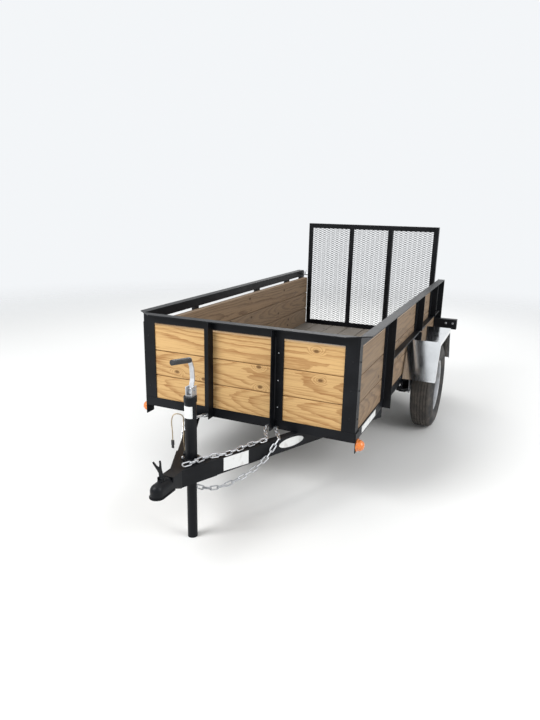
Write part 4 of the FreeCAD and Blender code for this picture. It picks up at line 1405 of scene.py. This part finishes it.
@dataclass
class Fasteners:
    """Screws, nuts and weld beads over the whole trailer."""

    board_rows: tuple[float, ...] = (503.0, 647.0, 791.0)
    post_rows: tuple[tuple[float, int], ...] = ((581.0, 0), (1500.0, 2), (2110.0, 2), (2460.0, 0))
    deck_rows: tuple[float, ...] = (26.0, 640.0, 1256.0, 1870.0, 2434.0)
    plank_shares: tuple[float, ...] = (0.25, 0.72)
    front_post_x: float = 201.0
    corner_x: float = 584.0
    from_edge: float = 28.0
    row_lift: float = 6.0
    frame_top: float = 441.0
    mid_top: float = 670.0
    post_feet: tuple[tuple[float, float], ...] = ((183.0, 229.0), (548.0, 614.0))
    seam_ends: tuple[float, float] = (6.0, 50.0)
    jack_seam_r: float = 28.0
    jack_seam_z: float = 401.0
    bracket_bolts: tuple[Point, ...] = ((714, 2400, 570), (769, 2400, 570))
    plate_bolts: tuple[Point, ...] = ((33, -487, 400), (-33, -527, 400), (33, -527, 400))
    plate_bolt_size: float = 0.9
    front_size: float = 0.52
    painted_size: float = 0.8
    sunk: float = 0.0012
    astray: float = 0.004
    bead_pitch: float = 0.0034
    head: Profile = ((-0.6, 0), (-0.6, 6.4), (0.6, 6.6), (1.2, 5.6), (3.0, 4.2), (4.0, 2.2),
                     (3.4, 1.6), (3.4, 0))
    washer: Profile = ((-0.5, 0), (-0.5, 8.5), (1, 8.5), (1, 0))
    hexagon: Profile = ((0.8, 0), (0.8, 7.2), (6.2, 7.2), (7, 6), (7, 0))
    thread: Profile = ((6, 0), (6, 3.4), (9.2, 3.4), (9.8, 2.8), (9.8, 0))
    ripple: Profile = ((-2.8, 0), (-2.2, 1.6), (0, 2.6), (2.2, 1.6), (2.8, 0))

    def turned(self, name: str, along: Vector,
               *parts: tuple[Profile, int]) -> bpy.types.Object:
        """Turn a small piece to be repeated.

        Args:
            name: its name.
            along: its axis.
            parts: profiles, each with its number of sides.

        Returns:
            The piece.
        """
        shape = Shape()
        for profile, sides in parts:
            shape.lathe(profile, Vector(), along, sides)
        return shape.object(name)

    def nut(self) -> bpy.types.Object:
        """Nut on a washer with its bolt's end, standing on its own Z = 0."""
        return self.turned("nut", UP, (self.washer, 16), (self.hexagon, 6), (self.thread, 12))

    def front_screws(self) -> list[Place]:
        """Bright screws through the front posts' flat legs.

        Returns:
            Point, turn and size of each.
        """
        return [(spot(side * self.front_post_x, 0, z + self.row_lift), facing_turn(AHEAD, z),
                 self.front_size) for z in self.board_rows for side in SIDES]

    def wall_screws(self) -> list[Place]:
        """Painted screws through the corner and side posts.

        Returns:
            Point, turn and size of each.
        """
        size, inset, places = self.painted_size, self.from_edge, []
        for side in SIDES:
            out = Vector((side, 0, 0))
            for z in self.board_rows:
                level = z + self.row_lift
                places.append((spot(side * self.corner_x, 0, level), facing_turn(AHEAD, z), size))
                places.append((spot(side * SKIN_X, inset, level), facing_turn(out, z), size))
            for y, start in self.post_rows:
                for z in self.board_rows[start:]:
                    places.append((spot(side * SKIN_X, y - inset, z), facing_turn(out, y), size))
        return places

    def deck_screws(self) -> list[Place]:
        """Screws through the deck, two in each plank over each cross member.

        Returns:
            Point, turn and size of each.
        """
        low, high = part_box("deck_boards")
        pitch = (high.x - low.x + BOARD_GAP) / PLANKS
        places = []
        for y in self.deck_rows:
            for k in range(PLANKS):
                for share in self.plank_shares:
                    x = low.x + pitch * (k + share) - BOARD_GAP / 2
                    off = self.astray * math.sin(7.0 * k + y)
                    at = Vector((x, FRONT_Y + y / 1000 + off, high.z - self.sunk))
                    places.append((at, facing_turn(UP, x * 40), self.painted_size))
        return places

    def seams(self) -> list[tuple[Point, Point]]:
        """Welds at the feet of the posts, and round the jack.

        Returns:
            The two ends of each seam, in millimetres.
        """
        lines = []
        near, far = self.seam_ends
        for side in SIDES:
            x, top = side * SKIN_X, self.frame_top
            lines += [((side * a, 0, top), (side * b, 0, top)) for a, b in self.post_feet]
            lines.append(((x, near, top), (x, far, top)))
            for y, start in self.post_rows:
                z = self.mid_top if start else top
                lines.append(((x, y - far, z), (x, y - near, z)))
        ring = []
        for k in range(13):
            turn = math.pi * k / 6
            ring.append((self.jack_seam_r * math.cos(turn),
                         JACK_Y + self.jack_seam_r * math.sin(turn), self.jack_seam_z))
        return lines + list(zip(ring, ring[1:]))

    def beads(self) -> list[Place]:
        """Ripples along the seams.

        Returns:
            Point, turn and size of each.
        """
        places = []
        for start, end in self.seams():
            a, b = spot(*start), spot(*end)
            count = max(2, int((b - a).length / self.bead_pitch))
            along = (b - a).normalized().to_track_quat("X", "Z").to_matrix()
            places += [(a + (b - a) * ((k + 0.5) / count), along,
                        0.9 + 0.2 * math.sin(k * 2.3 + a.x * 50)) for k in range(count)]
        return places

    def bolts(self) -> list[Place]:
        """Nuts of the lamp brackets and of the jack's plate.

        Returns:
            Point, turn and size of each.
        """
        places = [(spot(side * x, y, z), facing_turn(AHEAD, x), 1.0)
                  for side in SIDES for x, y, z in self.bracket_bolts]
        return places + [(spot(x, y, z), facing_turn(UP, x), self.plate_bolt_size)
                         for x, y, z in self.plate_bolts]

    def build(self, rows: Rows, nut: bpy.types.Object, finishes: Slots) -> None:
        """Set all the fasteners.

        Args:
            rows: the tree that repeats a piece.
            nut: the nut to repeat.
            finishes: the materials by slot.
        """
        screw = self.turned("screw head", UP, (self.head, 14))
        bead = self.turned("bead", LEFTWARD, (self.ripple, 8))
        for name, unit, slot, places in (
                ("front_screws", screw, "zinc", self.front_screws()),
                ("wall_screws", screw, "black_paint", self.wall_screws()),
                ("deck_screws", screw, "zinc", self.deck_screws()),
                ("weld_beads", bead, "black_paint", self.beads()),
                ("bracket_nuts", nut, "zinc", self.bolts())):
            declare(rows.lay(name, unit, finishes[slot], places), "chassis")
        for unit in (screw, bead):
            bpy.data.objects.remove(unit)


@dataclass
class Gate:
    """Ramp gate's expanded metal."""

    columns: int = 28
    rows: int = 50
    across: float = 0.0406
    up: float = 0.01825
    strand: float = 0.0044

    def build(self, black: bpy.types.Material) -> None:
        """Stretch the metal over the frame.

        Args:
            black: its paint.
        """
        low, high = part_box("gate_mesh")
        sheet = Lattice().run(
            "expanded_metal", bpy.data.meshes.new("seed"), Columns=self.columns, Rows=self.rows,
            Pitch_Across=self.across, Pitch_Up=self.up, Strand=self.strand,
            Centre=tuple((low + high) / 2), Finish=black)
        declare(sheet, "gate", ("gate_mesh",))


@dataclass
class MarkerLamps:
    """Amber domes with a rim at the front corners."""

    x: float = 620.0
    y: float = 38.0
    z: float = 368.0
    radius: float = 33.0
    depth: float = 38.0
    rim: float = 7.0
    inset: float = 3.5
    steps: int = 12

    def build(self, amber: bpy.types.Material) -> None:
        """Mould the lamps.

        Args:
            amber: the lens.
        """
        r, bowl = self.radius, self.radius - self.inset
        dome = [(0, 0), (0, r), (self.rim - 2, r), (self.rim - 0.5, r - 2), (self.rim, bowl)]
        for k in range(1, self.steps):
            turn = math.pi / 2 * k / self.steps
            ripple = 0.35 if k % 2 else -0.1
            dome.append((self.rim + (self.depth - self.rim) * math.sin(turn),
                         bowl * math.cos(turn) ** 0.75 + ripple))
        dome.append((self.depth, 0))
        shape = Shape()
        for side in SIDES:
            shape.lathe(tuple(dome), spot(side * self.x, self.y, self.z), Vector((side, 0, 0)), 48)
        shape.piece("marker_domes", amber, "chassis", "amber_lens", ("marker_lamps",))


@dataclass
class Labels:
    """Blank labels and the plain pale strip, where the trailer carries them."""

    slope: float = math.radians(25.0)
    apex_y: float = -687.0
    thick: float = 0.0006
    tag: Profile = ((288, 323), (434, 318), (434, 386), (288, 388))
    oval_at: tuple[float, float] = (713.0, 354.0)
    oval_half: tuple[float, float] = (84.0, 24.0)
    strip: Profile = ((130, 396), (410, 396), (410, 433), (130, 433))
    wrap: Profile = ((27.0, 596), (27.6, 596), (27.6, 652), (27.0, 652))
    wrap_middle: float = math.atan2(-0.914, 0.406)
    wrap_start: float = math.radians(-78)
    wrap_sweep: float = math.radians(104)

    def on_leg(self, run: float, height: float) -> Vector:
        """Point on the left tongue leg's outer face.

        Args:
            run: millimetres from the apex along the leg.
            height: millimetres above the ground.

        Returns:
            The place.
        """
        return spot(run * math.sin(self.slope), self.apex_y + run * math.cos(self.slope), height)

    def build(self) -> None:
        """Stick the labels on."""
        out = Vector((math.cos(self.slope), -math.sin(self.slope), 0)) * self.thick
        (run, height), (wide, high) = self.oval_at, self.oval_half
        turns = [math.pi * k / 20 for k in range(40)]
        shape = Shape()
        shape.sheet([self.on_leg(*corner) for corner in self.tag], out)
        shape.sheet([self.on_leg(run + wide * math.cos(turn), height + high * math.sin(turn))
                     for turn in turns], out)
        shape.sheet([spot(SKIN_X, y, z) for y, z in self.strip], LEFTWARD * self.thick)
        rings = []
        for k in range(13):
            turn = self.wrap_middle + self.wrap_start + self.wrap_sweep * k / 12
            rings.append([spot(r * math.cos(turn), JACK_Y + r * math.sin(turn), z)
                          for r, z in self.wrap])
        shape.loft(rings)
        shape.piece("blank_labels", Vinyl().make(), "chassis")


@dataclass
class Finishes:
    """Every material of the trailer, by the slot that the record names."""

    by_slot: Slots = field(default_factory=dict)

    def make(self) -> None:
        """Build the materials."""
        low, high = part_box("rim_left")
        axle = (low + high) / 2
        wall, wall_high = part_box("front_boards")
        deck, deck_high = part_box("deck_boards")
        wall_at = (wall.z - BOARD_GAP / 2, (wall_high.z - wall.z + BOARD_GAP) / WALL_ROWS)
        deck_at = (deck.x - BOARD_GAP / 2, (deck_high.x - deck.x + BOARD_GAP) / PLANKS)
        recipes = {
            "black_paint": Paint(),
            "pine": Timber("yellow pine", Axis.X, Axis.Z, *wall_at, (0.66, 0.43, 0.19),
                           (0.34, 0.16, 0.048), (0.50, 0.35, 0.18), 0.10),
            "board": Timber("weathered pine", Axis.Y, Axis.Z, *wall_at, (0.29, 0.20, 0.125),
                            (0.13, 0.08, 0.046), (0.22, 0.175, 0.13), 0.40),
            "deck": Timber("deck pine", Axis.Y, Axis.X, *deck_at, (0.215, 0.185, 0.15),
                           (0.12, 0.098, 0.076), (0.18, 0.168, 0.15), 0.6),
            "bright_aluminium": Metal("bright aluminium", (0.80, 0.815, 0.83), 0.05, 0.0,
                                      (4.0, 220.0, 220.0), 0.06),
            "zinc": Metal("zinc plate", (0.56, 0.57, 0.59), 0.26, 0.5, (120.0, 120.0, 120.0), 0.2),
            "wheel_paint": Silver(),
            "tyre": Rubber(axle.y, axle.z),
            "grip": Moulded(),
            "cord_cover": Moulded("tan lead cover", (0.30, 0.235, 0.15), 0.5),
            "plug_plastic": Moulded("plug plastic", (0.02, 0.02, 0.021), 0.45),
            "red_lens": Lens("red lens", (0.30, 0.008, 0.010), (0.62, 0.02, 0.02)),
            "amber_lens": Lens("amber lens", (0.56, 0.11, 0.004), (0.86, 0.25, 0.010)),
        }
        self.by_slot = {slot: recipe.make() for slot, recipe in recipes.items()}

    def dress(self) -> None:
        """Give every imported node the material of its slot."""
        slots = {row["node"]: row["material_slot"] for row in frame["record"]["subparts"]}
        for name, node in frame["nodes"].items():
            finish = self.by_slot[slots[name]]
            if node.material_slots:
                for slot in node.material_slots:
                    slot.material = finish
            else:
                node.data.materials.append(finish)


@dataclass
class Studio:
    """Camera at the photograph's place, plain floor, soft lamps."""

    eye: Point = (1.2727, -2.5164, 1.514)
    yaw: float = 0.4181
    pitch: float = 0.2691
    roll: float = 0.0204
    focal_px: float = 565.69
    photo: tuple[int, int] = (540, 720)
    sensor: float = 36.0
    floor_reach: float = 40.0
    sky: Colour = (0.93, 0.95, 0.97)
    sky_strength: float = 0.62
    backdrop: Colour = (0.90, 0.92, 0.94)
    lamp_size: float = 3.0
    lamps: tuple[tuple[str, Point, Point, float], ...] = (
        ("key", (-2.6, -4.6, 4.6), (0.0, -0.2, 0.5), 330.0),
        ("fill", (4.4, -1.0, 3.2), (0.3, 0.2, 0.5), 120.0),
        ("rear", (-1.0, 4.6, 4.4), (0.0, 0.6, 0.6), 160.0))

    def camera(self) -> None:
        """Place the camera."""
        cy, sy = math.cos(self.yaw), math.sin(self.yaw)
        cp, sp = math.cos(self.pitch), math.sin(self.pitch)
        cr, sr = math.cos(self.roll), math.sin(self.roll)
        right = Vector((cy, sy, 0.0))
        ahead = Vector((-sy * cp, cy * cp, -sp))
        up = right.cross(ahead)
        right, up = cr * right + sr * up, cr * up - sr * right
        data = bpy.data.cameras.new("photo camera")
        data.sensor_width = self.sensor
        data.lens = self.focal_px / max(self.photo) * self.sensor
        data.clip_end = 200.0
        camera = stand("photo camera", data)
        x, y, z = self.eye
        turn = Matrix((right, up, -ahead)).transposed().to_4x4()
        camera.matrix_world = Matrix.Translation((x, FRONT_Y + y, z)) @ turn
        bpy.context.scene.camera = camera

    def floor(self) -> None:
        """Lay the floor."""
        mesh = bpy.data.meshes.new("floor")
        far = self.floor_reach
        mesh.from_pydata([(-far, -far, 0), (far, -far, 0), (far, far, 0), (-far, far, 0)], [],
                         [(0, 1, 2, 3)])
        mesh.materials.append(Floor().make())
        stand("floor", mesh)

    def light(self) -> None:
        """Hang the square soft lamps."""
        for name, place, target, watts in self.lamps:
            data = bpy.data.lights.new(name, "AREA")
            data.size, data.energy = self.lamp_size, watts
            lamp = stand(name, data)
            lamp.location = place
            aim = Vector(target) - Vector(place)
            lamp.rotation_euler = aim.to_track_quat("-Z", "Y").to_euler()

    def world(self) -> None:
        """Set the pale world: plain light, and paler to the camera and in reflections."""
        world = bpy.data.worlds.new("studio")
        bpy.context.scene.world = world
        world.use_nodes = True
        kit = Tree(world.node_tree)
        kit.tree.nodes.clear()
        path = kit.node("ShaderNodeLightPath", {}, {}).outputs
        seen, through, mirrored = (Value(kit, path[name]) for name in (
            "Is Camera Ray", "Is Transmission Ray", "Is Glossy Ray"))
        soft = kit.node("ShaderNodeBackground", {}, {
            "Color": self.sky, "Strength": self.sky_strength})
        plain = kit.node("ShaderNodeBackground", {}, {"Color": self.backdrop, "Strength": 1.0})
        mix = kit.node("ShaderNodeMixShader", {}, {
            0: seen.most(through).most(mirrored), 1: soft.outputs[0], 2: plain.outputs[0]})
        kit.node("ShaderNodeOutputWorld", {}, {"Surface": mix.outputs[0]})

    def build(self) -> None:
        """Set camera, floor, world and lamps."""
        bpy.context.scene.view_settings.view_transform = "Standard"
        self.camera()
        self.floor()
        self.world()
        self.light()


def main() -> None:
    """Build the scene in order."""
    Studio().build()
    LOG.info("studio ready")
    finishes = Finishes()
    finishes.make()
    finishes.dress()
    slots = finishes.by_slot
    LOG.info("%d materials on %d nodes", len(slots), len(frame["nodes"]))
    Harness().build(slots)
    LOG.info("lead ready")
    Latch().build(slots["black_paint"])
    LOG.info("latch ready")
    rows = Rows()
    Chains().build(rows, slots["zinc"])
    LOG.info("chains ready")
    fasteners = Fasteners()
    nut = fasteners.nut()
    for side, label in ((1, "left"), (-1, "right")):
        RoadWheel(side, label).build(rows, nut, slots)
        LOG.info("%s wheel ready", label)
    fasteners.build(rows, nut, slots)
    bpy.data.objects.remove(nut)
    LOG.info("fasteners ready")
    Gate().build(slots["black_paint"])
    LOG.info("gate ready")
    MarkerLamps().build(slots["amber_lens"])
    LOG.info("marker lamps ready")
    Labels().build()
    LOG.info("labels ready")


if __name__ == "__main__":
    main()
